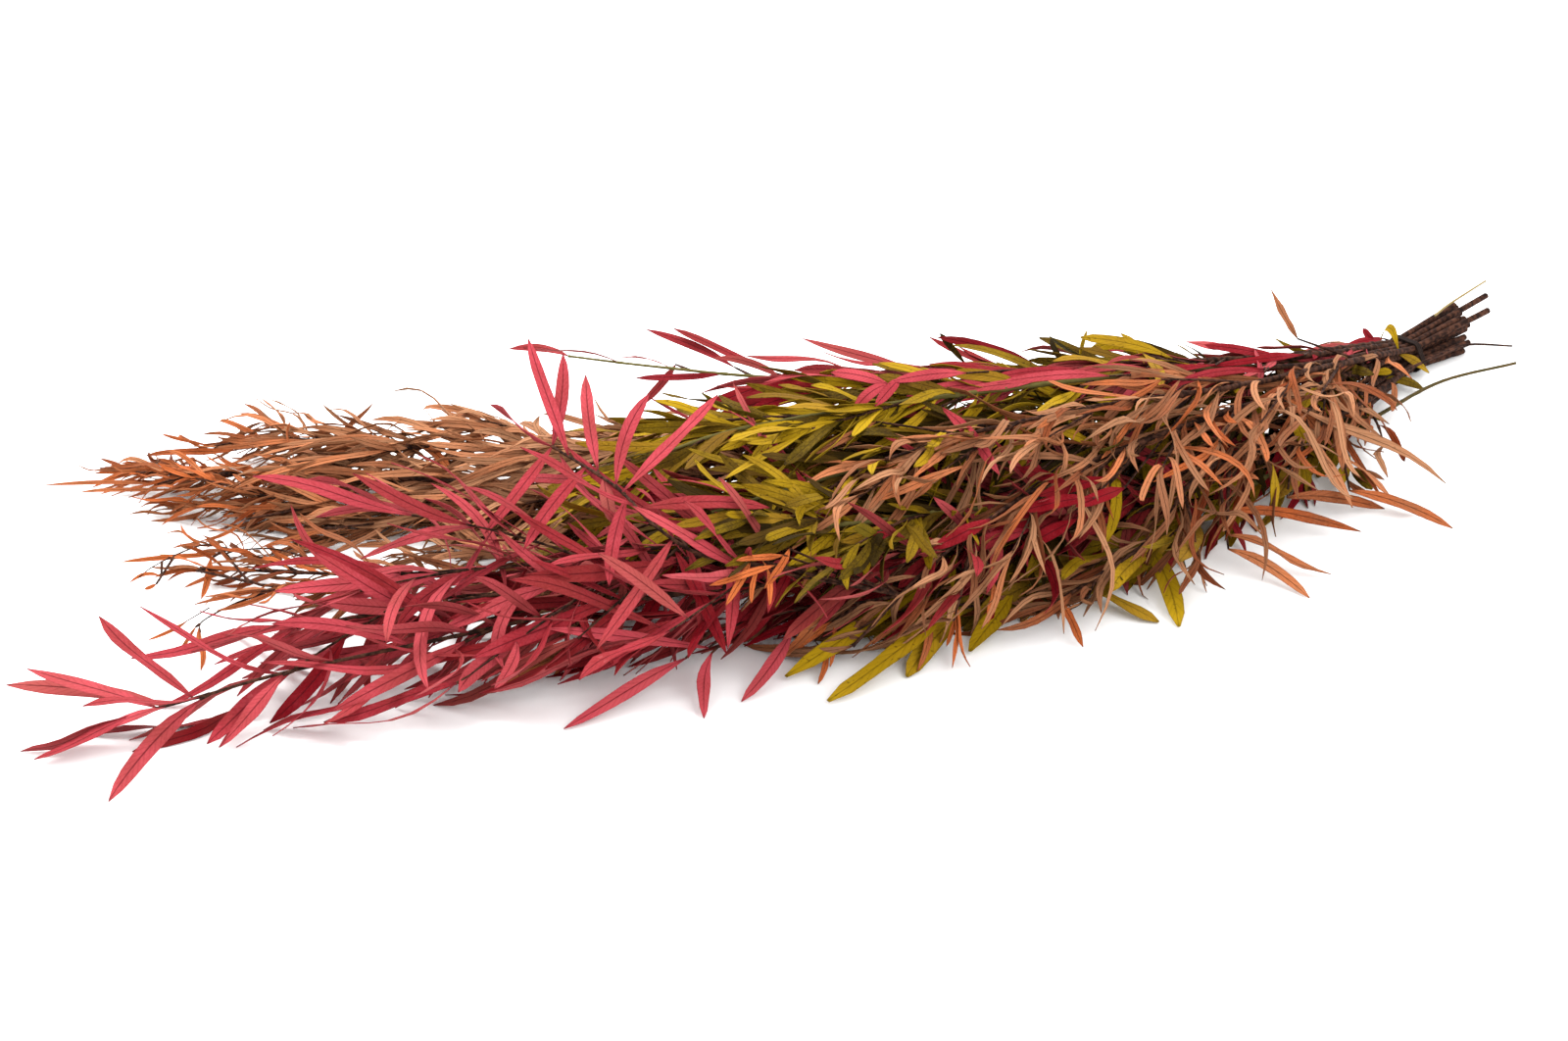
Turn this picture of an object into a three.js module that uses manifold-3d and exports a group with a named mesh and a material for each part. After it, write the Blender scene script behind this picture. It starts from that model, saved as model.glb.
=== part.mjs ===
// A tied bunch of dried and dyed narrow-leaved eucalyptus, lying on a flat surface.
// Millimetres, +Z up. +X runs towards the cut ends, +Y away from the near side, and z = 0 is the surface.
import * as THREE from "three";
import { mergeVertices } from "three/addons/utils/BufferGeometryUtils.js";
import Module from "manifold-3d";

const wasm = await Module();
wasm.setup();

const UP = new THREE.Vector3(0, 0, 1);
const DEGREE = Math.PI / 180;

// What brings the middle of the whole bunch, seen from above, over the origin.
const TO_MIDDLE = new THREE.Vector3(3.6, -9.5, 0);

// The neck, where the stems are packed row on row inside the tie.
const NECK = new THREE.Vector3(302, 32, 0);
const NECK_HEADING = 21; // degrees from +X towards +Y, in which the cut ends point
const STEM_PITCH = 3.5; // between stems in a row
const ROW_PITCH = 3;
const MIDDLE_PLACE = 2;
const TIE_WIDTH = 3.2;
const TIE_THICKNESS = 1;
const TIE_CLEARANCE = 0.45;
const TIE_PLACE = 2; // the middle of the band, this far from the neck towards the cut ends

// Stems and twigs taper towards their tips.
const STEM_RADIUS = 1.55;
const STEM_TIP_RADIUS = 0.65;
const STEM_SIDES = 5;
const STEM_STEPS = 11;
const TWIG_RADIUS = 0.85;
const TWIG_TIP_RADIUS = 0.45;
const TWIG_SHARE = 0.75; // a twig's girth at its root, as a share of its stem's girth there
const TWIG_SIDES = 3;
const TWIG_STEPS = 2;
const TWIG_CLEARANCE = 0.5;
const STALK_FROM = 2.5; // a marked leaf further than this from its stem has a stalk of its own
const LOWEST_ROW = TIE_THICKNESS + TIE_CLEARANCE + STEM_RADIUS;
const BUTT_FAN = 0.5; // how far the cut ends spread, as a share of their place in the row
const BUTT_RISE = 0.02; // how far each row climbs per millimetre beyond the neck

// A leaf blade is flat above and keeled below, and these are its stations from root to tip.
const LEAF_STATIONS = [0, 0.28, 0.66, 1];
const LEAF_SHAPE = [0.1, 0.95, 0.9, 0];
const LEAF_KEEL = 1;
const ROOT_KEEL = 0.35; // slim enough to sink inside a twig
const LEAF_CLEARANCE = 0.35; // from other branches
const SISTER_CLEARANCE = 0.05; // from the same branch
const LEAF_SEED = 7000;
const LOW_LEAVES = 0.5; // the lowest leaves start at this share of the way to the first twig
const MARKED_GIRTH = 1.5; // what twigs keep clear of, either side of a marked leaf's middle line

// Where the foliage ends on the near side, at the surface. What stands higher reaches out further, and a twig or
// a leaf that would reach beyond bends most of the way back.
const NEAR_EDGE = [
  [-338, -89], [-305, -85], [-248, -74], [-208, -75], [-136, -86], [-77, -90], [-10, -113], [41, -109],
  [111, -106], [169, -81], [236, -44], [268, -18],
];
const OVERHANG = 1.85; // for each millimetre of height
const BENT_BACK = 0.75;

// What each dye lot's foliage is like: leaf size, distance between leaves, and how they stand. No tip rises
// further above its leaf's root than the rise.
const DYES = {
  red: {
    color: 0xb23346, length: 58, width: 6, spacing: 27,
    spread: 30, rise: 34, droop: 0.1, bow: 0.4, arch: 0.14,
  },
  olive: {
    color: 0x8c7d2b, length: 46, width: 4.6, spacing: 23,
    spread: 26, rise: 16, droop: 0.14, bow: 0.24, arch: 0.15,
  },
  copper: {
    color: 0x9c5f3d, length: 32, width: 3, spacing: 21,
    spread: 34, rise: 16, droop: 0.2, bow: 0.5, arch: 0.3,
  },
};

// Every branch: its row and place in the neck, the length of bare butt beyond the neck, and the route of
// its stem from the neck to its tip. Its twigs start between two shares of the stem's length. They reach
// from the first length to the second, splay from the stem by an angle, and rise by another. A side of -1
// keeps most of them on the near side. The marked leaves stand out from the mass: each is its root, its
// tip and how far it bows sideways. What is said of a branch's own leaves goes before its dye lot's.
const BRANCHES = [
  {
    name: "red_branch_1", dye: "red", row: 3, place: 0, butt: 52,
    route: [[240, 8, 30], [153, -8, 42], [60, 0, 48], [-20, 45, 46], [-64, 90, 40], [-92, 122, 36]],
    leaf: { length: 40, width: 3.6, spread: 22, rise: 8 },
    twigs: { count: 5, from: 0.3, to: 0.62, reach: [60, 40], splay: 18, lift: -10, side: 0 },
    marked: [
      [[-17, 60, 42], [-47, 104, 50], 0.1],
      [[-30, 70, 42], [-56, 116, 46], -0.1],
      [[-50, 93, 37], [-72, 80, 26], 0.2],
    ],
  },
  {
    name: "red_branch_2", dye: "red", row: 3, place: 1, butt: 71,
    route: [[220, -8, 38], [140, -20, 54], [60, -14, 61], [-10, 4, 64]],
    leaf: { length: 46, width: 4.2, spread: 22, rise: 8 },
    twigs: { count: 4, from: 0.25, to: 0.8, reach: [60, 40], splay: 16, lift: -15, side: 0 },
    marked: [
      [[35, 8, 54], [-8, 43, 64], 0.15],
      [[86, -4, 54], [48, 22, 64], -0.15],
      [[194, -6, 44], [162, -1, 52], 0.3],
      [[125, -29, 52], [98, -48, 52], -0.3],
    ],
  },
  {
    name: "copper_branch_1", dye: "copper", row: 2, place: 0, butt: 58,
    route: [
      [220, -2, 26], [140, -14, 34], [30, -14, 36], [-75, 18, 36], [-130, 42, 30], [-176, 80, 26],
      [-238, 130, 17],
    ],
    twigs: { count: 7, from: 0.35, to: 0.93, reach: [62, 38], splay: 24, lift: 0, side: 0 },
    marked: [],
  },
  {
    name: "copper_branch_2", dye: "copper", row: 1, place: 0, butt: 45,
    route: [
      [215, -8, 18], [135, -25, 24], [30, -32, 27], [-78, 4, 26], [-133, 27, 22], [-204, 74, 18],
      [-292, 134, 8],
    ],
    twigs: { count: 7, from: 0.35, to: 0.93, reach: [75, 45], splay: 26, lift: 5, side: 0 },
    marked: [],
  },
  {
    name: "copper_branch_3", dye: "copper", row: 0, place: 0, butt: 50,
    route: [
      [215, -9, 9], [130, -34, 14], [10, -46, 16], [-104, -6, 14], [-163, 36, 12], [-226, 70, 9],
      [-276, 98, 6],
    ],
    twigs: { count: 7, from: 0.35, to: 0.93, reach: [75, 45], splay: 26, lift: 5, side: 0 },
    marked: [],
  },
  {
    name: "copper_branch_4", dye: "copper", row: 0, place: 1, butt: 40,
    route: [
      [210, -19, 8], [120, -44, 10], [0, -60, 12], [-110, -40, 13], [-196, -14, 12], [-284, 38, 7],
    ],
    twigs: { count: 7, from: 0.4, to: 0.93, reach: [70, 50], splay: 30, lift: 5, side: 0 },
    marked: [],
  },
  {
    name: "red_branch_3", dye: "red", row: 0, place: 3, butt: 44,
    route: [
      [200, -38, 10], [80, -85, 19], [-65, -98, 28], [-149, -97, 32], [-215, -92, 28], [-275, -84, 22],
      [-311, -80, 16], [-334, -75, 11],
    ],
    leaf: { length: 64, width: 6.2, spread: 28 },
    twigs: { count: 6, from: 0.35, to: 0.78, reach: [75, 55], splay: 16, lift: 5, side: 0 },
    marked: [
      [[-311, -80, 16], [-337, -35, 34], 0.2],
      [[-320, -78, 14], [-375, -29, 8], -0.1],
      [[-325, -76, 13], [-367, -37, 18], 0.1],
      [[-323, -78, 13], [-362, -68, 2], 0.25],
      [[-334, -75, 11], [-373, -78, 2], 0.25],
      [[-309, -82, 16], [-352, -116, 1], -0.15],
      [[-277, -86, 22], [-306, -96, 2], 0.1],
    ],
  },
  {
    name: "red_branch_4", dye: "red", row: 1, place: 2, butt: 48,
    route: [
      [205, -28, 19], [90, -66, 33], [-53, -84, 40], [-147, -89, 40], [-210, -75, 34], [-264, -55, 24],
    ],
    leaf: { length: 62, width: 6.6 },
    twigs: { count: 6, from: 0.55, to: 0.93, reach: [80, 55], splay: 26, lift: 10, side: 0 },
    marked: [],
  },
  {
    name: "red_branch_5", dye: "red", row: 2, place: 2, butt: 50,
    route: [
      [205, -22, 28], [92, -53, 38], [-45, -72, 44], [-119, -84, 46], [-181, -74, 44], [-220, -53, 38],
    ],
    leaf: { length: 62, width: 6.6 },
    twigs: { count: 4, from: 0.7, to: 0.93, reach: [72, 50], splay: 24, lift: 0, side: 0 },
    marked: [],
  },
  {
    name: "red_branch_6", dye: "red", row: 1, place: 3, butt: 40,
    route: [
      [198, -38, 18], [60, -84, 25], [-50, -108, 35], [-106, -110, 50], [-127, -98, 62],
      [-135, -71, 69], [-149, -33, 72],
    ],
    twigs: { count: 2, from: 0.4, to: 0.6, reach: [45, 45], splay: 16, lift: 0, side: 0 },
    marked: [
      [[-144, -42, 72], [-145, 8, 102], 0.05],
      [[-149, -33, 72], [-133, -1, 97], -0.15],
      [[-138, -58, 71], [-129, -18, 94], 0.1],
      [[-135, -71, 70], [-112, -48, 96], 0.3],
      [[-134, -76, 69], [-78, -36, 84], -0.1],
      [[-148, -35, 72], [-186, -58, 52], 0.1],
      [[-140, -54, 71], [-178, -84, 56], -0.1],
      [[-137, -64, 70], [-140, -79, 58], 0],
      [[-134, -80, 68], [-152, -110, 48], -0.15],
      [[-131, -88, 67], [-80, -98, 62], 0.25],
      [[-122, -102, 59], [-165, -132, 34], 0.1],
    ],
  },
  {
    name: "red_branch_7", dye: "red", row: 0, place: 2, butt: 42,
    route: [[200, -31, 6], [70, -74, 9], [-20, -95, 13], [-85, -100, 14], [-138, -98, 12]],
    leaf: { length: 50, width: 5.4, spread: 24 },
    twigs: { count: 6, from: 0.3, to: 0.85, reach: [50, 32], splay: 13, lift: 0, side: 0 },
    marked: [
      [[-113, -115, 14], [-177, -106, 32], 0.1],
      [[-123, -116, 12], [-179, -131, 1], 0.05],
      [[-112, -116, 12], [-126, -144, 1], -0.2],
      [[-76, -112, 12], [-108, -138, 1], 0.2],
    ],
  },
  {
    name: "olive_branch_1", dye: "olive", row: 3, place: 2, butt: 42,
    route: [
      [215, -17, 38], [150, -32, 54], [56, -38, 64], [-13, -36, 66], [-69, -28, 62], [-108, -22, 52],
    ],
    leaf: { rise: 10 },
    twigs: { count: 6, from: 0.42, to: 0.93, reach: [66, 46], splay: 26, lift: -10, side: 0 },
    marked: [
      [[142, -24, 57], [104, -8, 67], -0.3],
      [[129, -20, 60], [118, -58, 62], 0.2],
    ],
  },
  {
    name: "olive_branch_2", dye: "olive", row: 2, place: 1, butt: 54,
    route: [[215, -12, 28], [140, -32, 42], [36, -50, 50], [-40, -66, 53], [-95, -72, 50]],
    twigs: { count: 7, from: 0.3, to: 0.93, reach: [70, 45], splay: 26, lift: 5, side: 0 },
    marked: [],
  },
  {
    name: "olive_branch_3", dye: "olive", row: 1, place: 1, butt: 55,
    route: [[205, -20, 19], [100, -50, 22], [38, -75, 30], [-16, -95, 44], [-70, -102, 52]],
    twigs: { count: 7, from: 0.3, to: 0.93, reach: [62, 42], splay: 26, lift: 0, side: 0 },
    marked: [],
  },
  {
    name: "olive_branch_4", dye: "olive", row: 0, place: 4, butt: 36,
    route: [[205, -42, 7], [106, -86, 9], [43, -106, 9], [0, -116, 9]],
    leaf: { length: 58, width: 7.6, spacing: 30, spread: 20 },
    twigs: { count: 5, from: 0.5, to: 0.93, reach: [45, 36], splay: 20, lift: 0, side: 0 },
    marked: [
      [[96, -92, 9], [79, -152, 2], 0.15],
      [[54, -108, 9], [74, -144, 1], -0.2],
      [[-2, -106, 24], [-86, -130, 3], 0.1],
      [[-8, -121, 14], [-77, -152, 2], 0.12],
      [[-2, -118, 10], [-40, -145, 1], -0.1],
      [[22, -111, 9], [-9, -138, 2], 0.1],
    ],
  },
  {
    name: "copper_branch_5", dye: "copper", row: 2, place: 3, butt: 46,
    route: [[210, -31, 33], [135, -70, 50], [47, -100, 52], [-14, -120, 38], [-58, -132, 12]],
    leaf: { length: 42, width: 3.2, spacing: 24, spread: 26, rise: 6 },
    twigs: { count: 8, from: 0.25, to: 0.93, reach: [42, 32], splay: 30, lift: -10, side: -1 },
    marked: [
      [[181, -58, 44], [247, -90, 6], 0.1],
      [[166, -89, 14], [212, -96, 3], 0.3],
      [[209, -50, 40], [195, -86, 20], 0.1],
      [[188, -67, 34], [194, -98, 8], -0.1],
      [[-56, -113, 20], [-85, -118, 4], 0.1],
    ],
  },
  {
    name: "copper_branch_6", dye: "copper", row: 1, place: 4, butt: 36,
    route: [[230, -34, 19], [180, -62, 30], [120, -90, 34], [84, -116, 24], [34, -128, 10]],
    leaf: { length: 42, width: 3.2, spacing: 24, spread: 26, rise: 6 },
    twigs: { count: 8, from: 0.25, to: 0.93, reach: [40, 30], splay: 30, lift: -10, side: -1 },
    marked: [
      [[203, -76, 20], [226, -102, 2], -0.3],
      [[197, -90, 12], [232, -120, 1], 0.3],
      [[125, -109, 14], [160, -137, 2], -0.1],
      [[130, -100, 20], [190, -112, 4], 0.3],
      [[123, -114, 10], [142, -150, 1], 0.3],
    ],
  },
  {
    name: "copper_branch_7", dye: "copper", row: 3, place: 3, butt: 58,
    route: [[215, -30, 42], [154, -58, 56], [90, -68, 64], [26, -74, 66], [-20, -76, 62]],
    leaf: { length: 42, width: 3.2, spacing: 24, spread: 24, rise: 5 },
    twigs: { count: 7, from: 0.25, to: 0.93, reach: [60, 42], splay: 22, lift: -20, side: -1 },
    marked: [
      [[220, -2, 44], [210, 8, 66], 0.3],
    ],
  },
];

function vector(numbers) {
  return new THREE.Vector3(...numbers);
}

// A branch's foliage: that of its dye lot, with what is its own.
function foliageOf({ dye, leaf }) {
  return { ...DYES[dye], ...leaf };
}

// A repeatable die: the same seed always gives the same rolls.
function makeDice(seed) {
  let state = Math.imul(seed, 2654435761) >>> 0;
  return (low, high) => {
    state = (Math.imul(state, 1664525) + 1013904223) >>> 0;
    return low + ((high - low) * state) / 4294967296;
  };
}

// The two level-and-upright directions across a direction of growth.
function crossways(growth) {
  const side = UP.clone().cross(growth).normalize();
  return [side, growth.clone().cross(side)];
}

// The point and the direction of growth at a share of a line's length.
function along(line, share) {
  const steps = line.length - 1;
  const place = steps * THREE.MathUtils.clamp(share, 0, 1);
  const index = Math.min(Math.floor(place), steps - 1);
  const growth = line[index + 1].clone().sub(line[index]);
  const point = line[index].clone().addScaledVector(growth, place - index);
  return [point, growth.normalize()];
}

function lengthOf(line) {
  return line.slice(1).reduce((sum, point, i) => sum + point.distanceTo(line[i]), 0);
}

const NECK_AXIS = vector([Math.cos(NECK_HEADING * DEGREE), Math.sin(NECK_HEADING * DEGREE), 0]);
const NECK_SIDE = vector([-NECK_AXIS.y, NECK_AXIS.x, 0]);

// How far a stem sits to the side of the neck's middle: every other row is half a pitch over.
function sidestep(row, place) {
  return (MIDDLE_PLACE - place - (row % 2) / 2) * STEM_PITCH;
}

// A stem's leafy line from the neck to its tip, and its bare butt beyond the neck.
function routeStem(branch) {
  const over = sidestep(branch.row, branch.place);
  const neck = NECK.clone().addScaledVector(NECK_SIDE, over);
  neck.z = LOWEST_ROW + branch.row * ROW_PITCH;
  const cut = neck.clone().addScaledVector(NECK_AXIS, branch.butt);
  cut.addScaledVector(NECK_SIDE, over * BUTT_FAN);
  cut.z = branch.row ? neck.z + branch.row * BUTT_RISE * branch.butt : STEM_RADIUS;
  const points = [neck, ...branch.route.map(vector)];
  const curve = new THREE.CatmullRomCurve3(points, false, "catmullrom");
  const line = curve.getSpacedPoints(STEM_STEPS);
  return { cut, line, taper: [STEM_RADIUS, STEM_TIP_RADIUS] };
}

// The shortest distance between two straight pieces, each from a start along a step.
function pieceDistance(startA, stepA, startB, stepB) {
  const between = startA.clone().sub(startB);
  const a = stepA.lengthSq();
  const e = stepB.lengthSq();
  const b = stepA.dot(stepB);
  const c = stepA.dot(between);
  const f = stepB.dot(between);
  const span = a * e - b * b;
  let s = span > 1e-9 ? THREE.MathUtils.clamp((b * f - c * e) / span, 0, 1) : 0;
  const t = THREE.MathUtils.clamp((b * s + f) / e, 0, 1);
  s = THREE.MathUtils.clamp((b * t - c) / a, 0, 1);
  return between.addScaledVector(stepA, s).addScaledVector(stepB, -t).length();
}

// The room left between two round shoots, measured from the share of the first line where it counts.
function roomBetween(shoot, other, from) {
  let room = Infinity;
  const steps = shoot.line.length - 1;
  for (let i = Math.ceil(from * steps); i < steps; i++) {
    const step = shoot.line[i + 1].clone().sub(shoot.line[i]);
    for (let j = 0; j < other.line.length - 1; j++) {
      const otherStep = other.line[j + 1].clone().sub(other.line[j]);
      const girth = THREE.MathUtils.lerp(...other.taper, j / (other.line.length - 1));
      const distance = pieceDistance(shoot.line[i], step, other.line[j], otherStep);
      room = Math.min(room, distance - girth - shoot.taper[0]);
    }
  }
  return room;
}

// How far a point lies beyond the near edge of the foliage.
function beyondEdge({ x, y, z }) {
  const after = NEAR_EDGE.findIndex(([place]) => place > x);
  if (after < 1) return Math.max(NEAR_EDGE.at(after)[1] - OVERHANG * z - y, 0);
  const [[x0, y0], [x1, y1]] = NEAR_EDGE.slice(after - 1, after + 1);
  return Math.max(y0 + ((y1 - y0) * (x - x0)) / (x1 - x0) - OVERHANG * z - y, 0);
}

// One twig, bent down by its own weight and forwards along the stem, and kept off the surface.
function twigLine(base, growth, outward, splay, reach, sag) {
  const heading = growth.clone().multiplyScalar(Math.cos(splay));
  heading.addScaledVector(outward, Math.sin(splay));
  const line = [];
  for (let i = 0; i <= TWIG_STEPS; i++) {
    const share = i / TWIG_STEPS;
    const point = base.clone().addScaledVector(heading, reach * share);
    point.addScaledVector(growth, 0.15 * reach * share * share);
    point.z = Math.max(point.z - 0.6 * sag * reach * share * share, TWIG_RADIUS + 0.2);
    point.y += BENT_BACK * share * beyondEdge(point);
    line.push(point);
  }
  return line;
}

const TURNS = [0, 30, -30, 60, -60, 180, 150, -150]; // degrees tried round the stem until a twig is clear

// A branch's twigs, each turned round its stem until it clears every shoot placed before it.
function growTwigs(owner, branch, stem, placed) {
  const { count, from, to, reach, splay, lift, side } = branch.twigs;
  const twigs = [];
  for (let k = 0; k < count; k++) {
    const dice = makeDice(100 * (owner + 1) + k);
    const share = k / (count - 1);
    const at = from + (to - from) * share + dice(-0.015, 0.015);
    const [base, growth] = along(stem.line, at);
    const girth = THREE.MathUtils.lerp(...stem.taper, at);
    const [across, above] = crossways(growth);
    const usual = k % 2 ? 1 : -1;
    const hand = side && dice(0, 1) < 0.75 ? side * Math.sign(across.y) : usual;
    const rise = lift + dice(-30, 30);
    const angle = splay * dice(0.7, 1.3) * DEGREE;
    const length = THREE.MathUtils.lerp(...reach, share) * dice(0.75, 1.2);
    const sag = dice(0.05, 0.35);
    for (const turn of TURNS) {
      const way = (rise + turn) * DEGREE;
      const outward = across.clone().multiplyScalar(hand * Math.cos(way));
      outward.addScaledVector(above, Math.sin(way));
      const line = twigLine(base, growth, outward, angle, length, sag);
      const twig = { line, taper: [Math.min(TWIG_RADIUS, TWIG_SHARE * girth), TWIG_TIP_RADIUS] };
      const isClear = (other) => other === stem || roomBetween(twig, other, 0) > TWIG_CLEARANCE;
      const clear = placed.every(isClear);
      const offStem = roomBetween(twig, stem, 0.3) > 0;
      const offTwigs = twigs.every(isClear);
      if (clear && offStem && offTwigs) {
        twigs.push(twig);
        break;
      }
    }
  }
  return twigs;
}

// Leaves along a shoot, on alternate sides, with one at its very end.
function growLeaves(shoot, dye, from, to, spacing, dice) {
  const span = lengthOf(shoot.line) * (to - from);
  const count = Math.max(1, Math.round(span / spacing));
  const facing = dice(0, 360);
  const leaves = [];
  for (let j = 0; j <= count; j++) {
    const [root, growth] = along(shoot.line, from + ((to - from) * j) / count);
    const [across, above] = crossways(growth);
    const way = (facing + 180 * j + dice(-55, 55)) * DEGREE;
    const last = to === 1 && j === count;
    const angle = dye.spread * dice(0.5, 1.5) * (last ? 0.3 : 1) * DEGREE;
    const outward = across.multiplyScalar(Math.cos(way));
    outward.addScaledVector(above, 0.7 * Math.sin(way)).normalize();
    const heading = growth.clone().multiplyScalar(Math.cos(angle));
    heading.addScaledVector(outward, Math.sin(angle));
    const length = dye.length * dice(0.65, 1.15);
    const tip = root.clone().addScaledVector(heading, length);
    tip.z = Math.min(tip.z - dye.droop * dice(0, 1.6) * length, root.z + dye.rise);
    tip.z = Math.max(tip.z, 0);
    tip.y += BENT_BACK * beyondEdge(tip);
    leaves.push({
      root,
      tip,
      width: dye.width * dice(0.8, 1.15),
      bow: dye.bow * dice(-1, 1),
      arch: dye.arch * dice(-0.4, 1),
      roll: dice(-65, 65),
      last,
    });
  }
  return leaves;
}

// A marked leaf, and the bare stalk that carries it where its root stands off the stem.
function growMarked([rootAt, tipAt, bow], dye, stem) {
  const root = vector(rootAt);
  const samples = Array.from({ length: 101 }, (_, i) => i / 100);
  const gaps = samples.map((share) => along(stem.line, share)[0].distanceTo(root));
  const gap = Math.min(...gaps);
  const nearest = gaps.indexOf(gap) / 100;
  const width = 1.1 * dye.width;
  const leaf = { root, tip: vector(tipAt), width, bow, arch: 0.08, roll: 90 * bow, last: true };
  if (gap < STALK_FROM) {
    leaf.root = along(stem.line, nearest)[0];
    return { stalks: [], leaf };
  }
  const share = Math.max(nearest - (1.1 * gap) / lengthOf(stem.line), 0.03);
  const start = along(stem.line, share)[0];
  const line = [start, start.clone().lerp(root, 0.5), root];
  return { stalks: [{ line, taper: [TWIG_RADIUS, TWIG_TIP_RADIUS] }], leaf };
}

// A leaf's middle line, as a shoot that others keep clear of.
function leafLine({ root, tip, bow, arch }) {
  const chord = tip.clone().sub(root);
  const middle = root.clone().addScaledVector(chord, 0.5);
  const side = crossways(chord.clone().normalize())[0];
  middle.addScaledVector(side, (bow * chord.length()) / 4);
  middle.addScaledVector(UP, (arch * chord.length()) / 4);
  return { line: [root, middle, tip], taper: [MARKED_GIRTH, MARKED_GIRTH] };
}

// The blade's stations: middle, half width and the directions across it and out of its face.
function bladeStations(leaf) {
  const chord = leaf.tip.clone().sub(leaf.root);
  const length = chord.length();
  const [side, above] = crossways(chord.clone().normalize());
  const roll = leaf.roll * DEGREE;
  const across = side.clone().multiplyScalar(Math.cos(roll));
  across.addScaledVector(above, Math.sin(roll));
  const out = above.clone().multiplyScalar(Math.cos(roll));
  out.addScaledVector(side, -Math.sin(roll));
  return LEAF_STATIONS.map((share, i) => {
    const swing = length * share * (1 - share);
    const middle = leaf.root.clone().addScaledVector(chord, share);
    middle.addScaledVector(side, leaf.bow * swing).addScaledVector(UP, leaf.arch * swing);
    const half = (leaf.width / 2) * LEAF_SHAPE[i];
    const keel = i ? LEAF_KEEL : ROOT_KEEL;
    const depth = half * Math.abs(across.z) + (half ? keel * Math.max(out.z, 0) : 0);
    middle.z = Math.max(middle.z, depth);
    return { middle, half, keel, across, out };
  });
}

// A closed surface over rings of points. Each ring runs anticlockwise, seen from ahead of the growth.
function loft(rings) {
  const sides = rings[0].length;
  const points = rings.flat();
  const index = [];
  for (let i = 1; i < sides - 1; i++) index.push(0, i + 1, i);
  for (let r = 0; r < rings.length - 1; r++) {
    const near = r * sides;
    const far = near + sides;
    const pointed = rings[r + 1].length === 1;
    for (let i = 0; i < sides; i++) {
      const next = (i + 1) % sides;
      if (pointed) {
        index.push(near + i, near + next, far);
      } else {
        index.push(near + i, near + next, far + next);
        index.push(near + i, far + next, far + i);
      }
    }
  }
  if (rings.at(-1).length > 1) {
    const end = points.length - sides;
    for (let i = 1; i < sides - 1; i++) index.push(end, end + i, end + i + 1);
  }
  return new THREE.BufferGeometry().setFromPoints(points).setIndex(index);
}

function shootRings({ line, taper }, sides) {
  const steps = line.length - 1;
  return line.map((point, i) => {
    const ahead = line[Math.min(i + 1, steps)];
    const growth = ahead.clone().sub(line[Math.max(i - 1, 0)]).normalize();
    const [across, above] = crossways(growth);
    const radius = THREE.MathUtils.lerp(...taper, i / steps);
    return Array.from({ length: sides }, (_, k) => {
      const turn = (2 * Math.PI * k) / sides + Math.PI / 6;
      const spoke = across.clone().multiplyScalar(radius * Math.cos(turn));
      return point.clone().add(spoke).addScaledVector(above, radius * Math.sin(turn));
    });
  });
}

function bladeRings(leaf) {
  return bladeStations(leaf).map(({ middle, half, keel, across, out }) => {
    if (!half) return [middle];
    const right = middle.clone().addScaledVector(across, half);
    const left = middle.clone().addScaledVector(across, -half);
    return [right, left, middle.clone().addScaledVector(out, -keel)];
  });
}

// A twig runs on into the leaf that ends it, if it has one, without a joint.
function twigGeometry(twig) {
  const rings = shootRings(twig, TWIG_SIDES);
  return loft(twig.leaf ? [...rings, ...bladeRings(twig.leaf).slice(1)] : rings);
}

// A box round a straight stretch, for telling whether two stretches are clear of each other.
function stretchBox(start, end, across, halfWidth, halfDepth) {
  const step = end.clone().sub(start);
  const length = step.length();
  const run = step.clone().normalize();
  const wide = across.clone().addScaledVector(run, -across.dot(run)).normalize();
  return {
    middle: start.clone().addScaledVector(step, 0.5),
    axes: [run, wide, run.clone().cross(wide)],
    halves: [length / 2, halfWidth, halfDepth],
    radius: Math.hypot(length / 2, halfWidth, halfDepth),
  };
}

function boxesOfShoot({ line, taper }) {
  return line.slice(1).map((end, i) => {
    const across = crossways(end.clone().sub(line[i]).normalize())[0];
    const radius = THREE.MathUtils.lerp(...taper, i / (line.length - 1));
    return stretchBox(line[i], end, across, radius, radius);
  });
}

function boxesOfLeaf(leaf) {
  const stations = bladeStations(leaf);
  return stations.slice(1).map((station, i) => {
    const before = stations[i];
    const half = Math.max(before.half, station.half);
    const box = stretchBox(before.middle, station.middle, station.across, half, LEAF_KEEL / 2);
    box.middle.addScaledVector(station.out, -LEAF_KEEL / 2);
    return box;
  });
}

// Two boxes are clear if some direction shows a gap between their shadows.
function boxesClear(a, b, margin) {
  const between = b.middle.clone().sub(a.middle);
  if (between.length() > a.radius + b.radius + margin) return true;
  const crossed = a.axes.flatMap((first) => b.axes.map((second) => first.clone().cross(second)));
  const directions = [...a.axes, ...b.axes, ...crossed.filter((axis) => axis.length() > 1e-3)];
  return directions.some((direction) => {
    const axis = direction.clone().normalize();
    const reach = (sum, way, i, halves) => sum + Math.abs(way.dot(axis)) * halves[i];
    const shadow = (box) => box.axes.reduce((sum, way, i) => reach(sum, way, i, box.halves), 0);
    return Math.abs(between.dot(axis)) - shadow(a) - shadow(b) > margin;
  });
}

// A closed geometry as a solid that can be joined to others.
function solidOf(geometry) {
  const bare = geometry.clone();
  for (const name of Object.keys(bare.attributes)) {
    if (name !== "position") bare.deleteAttribute(name);
  }
  const merged = mergeVertices(bare, 1e-4);
  const vertProperties = merged.attributes.position.array;
  const triVerts = new Uint32Array(merged.index.array);
  return new wasm.Manifold(new wasm.Mesh({ numProp: 3, vertProperties, triVerts }));
}

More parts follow.
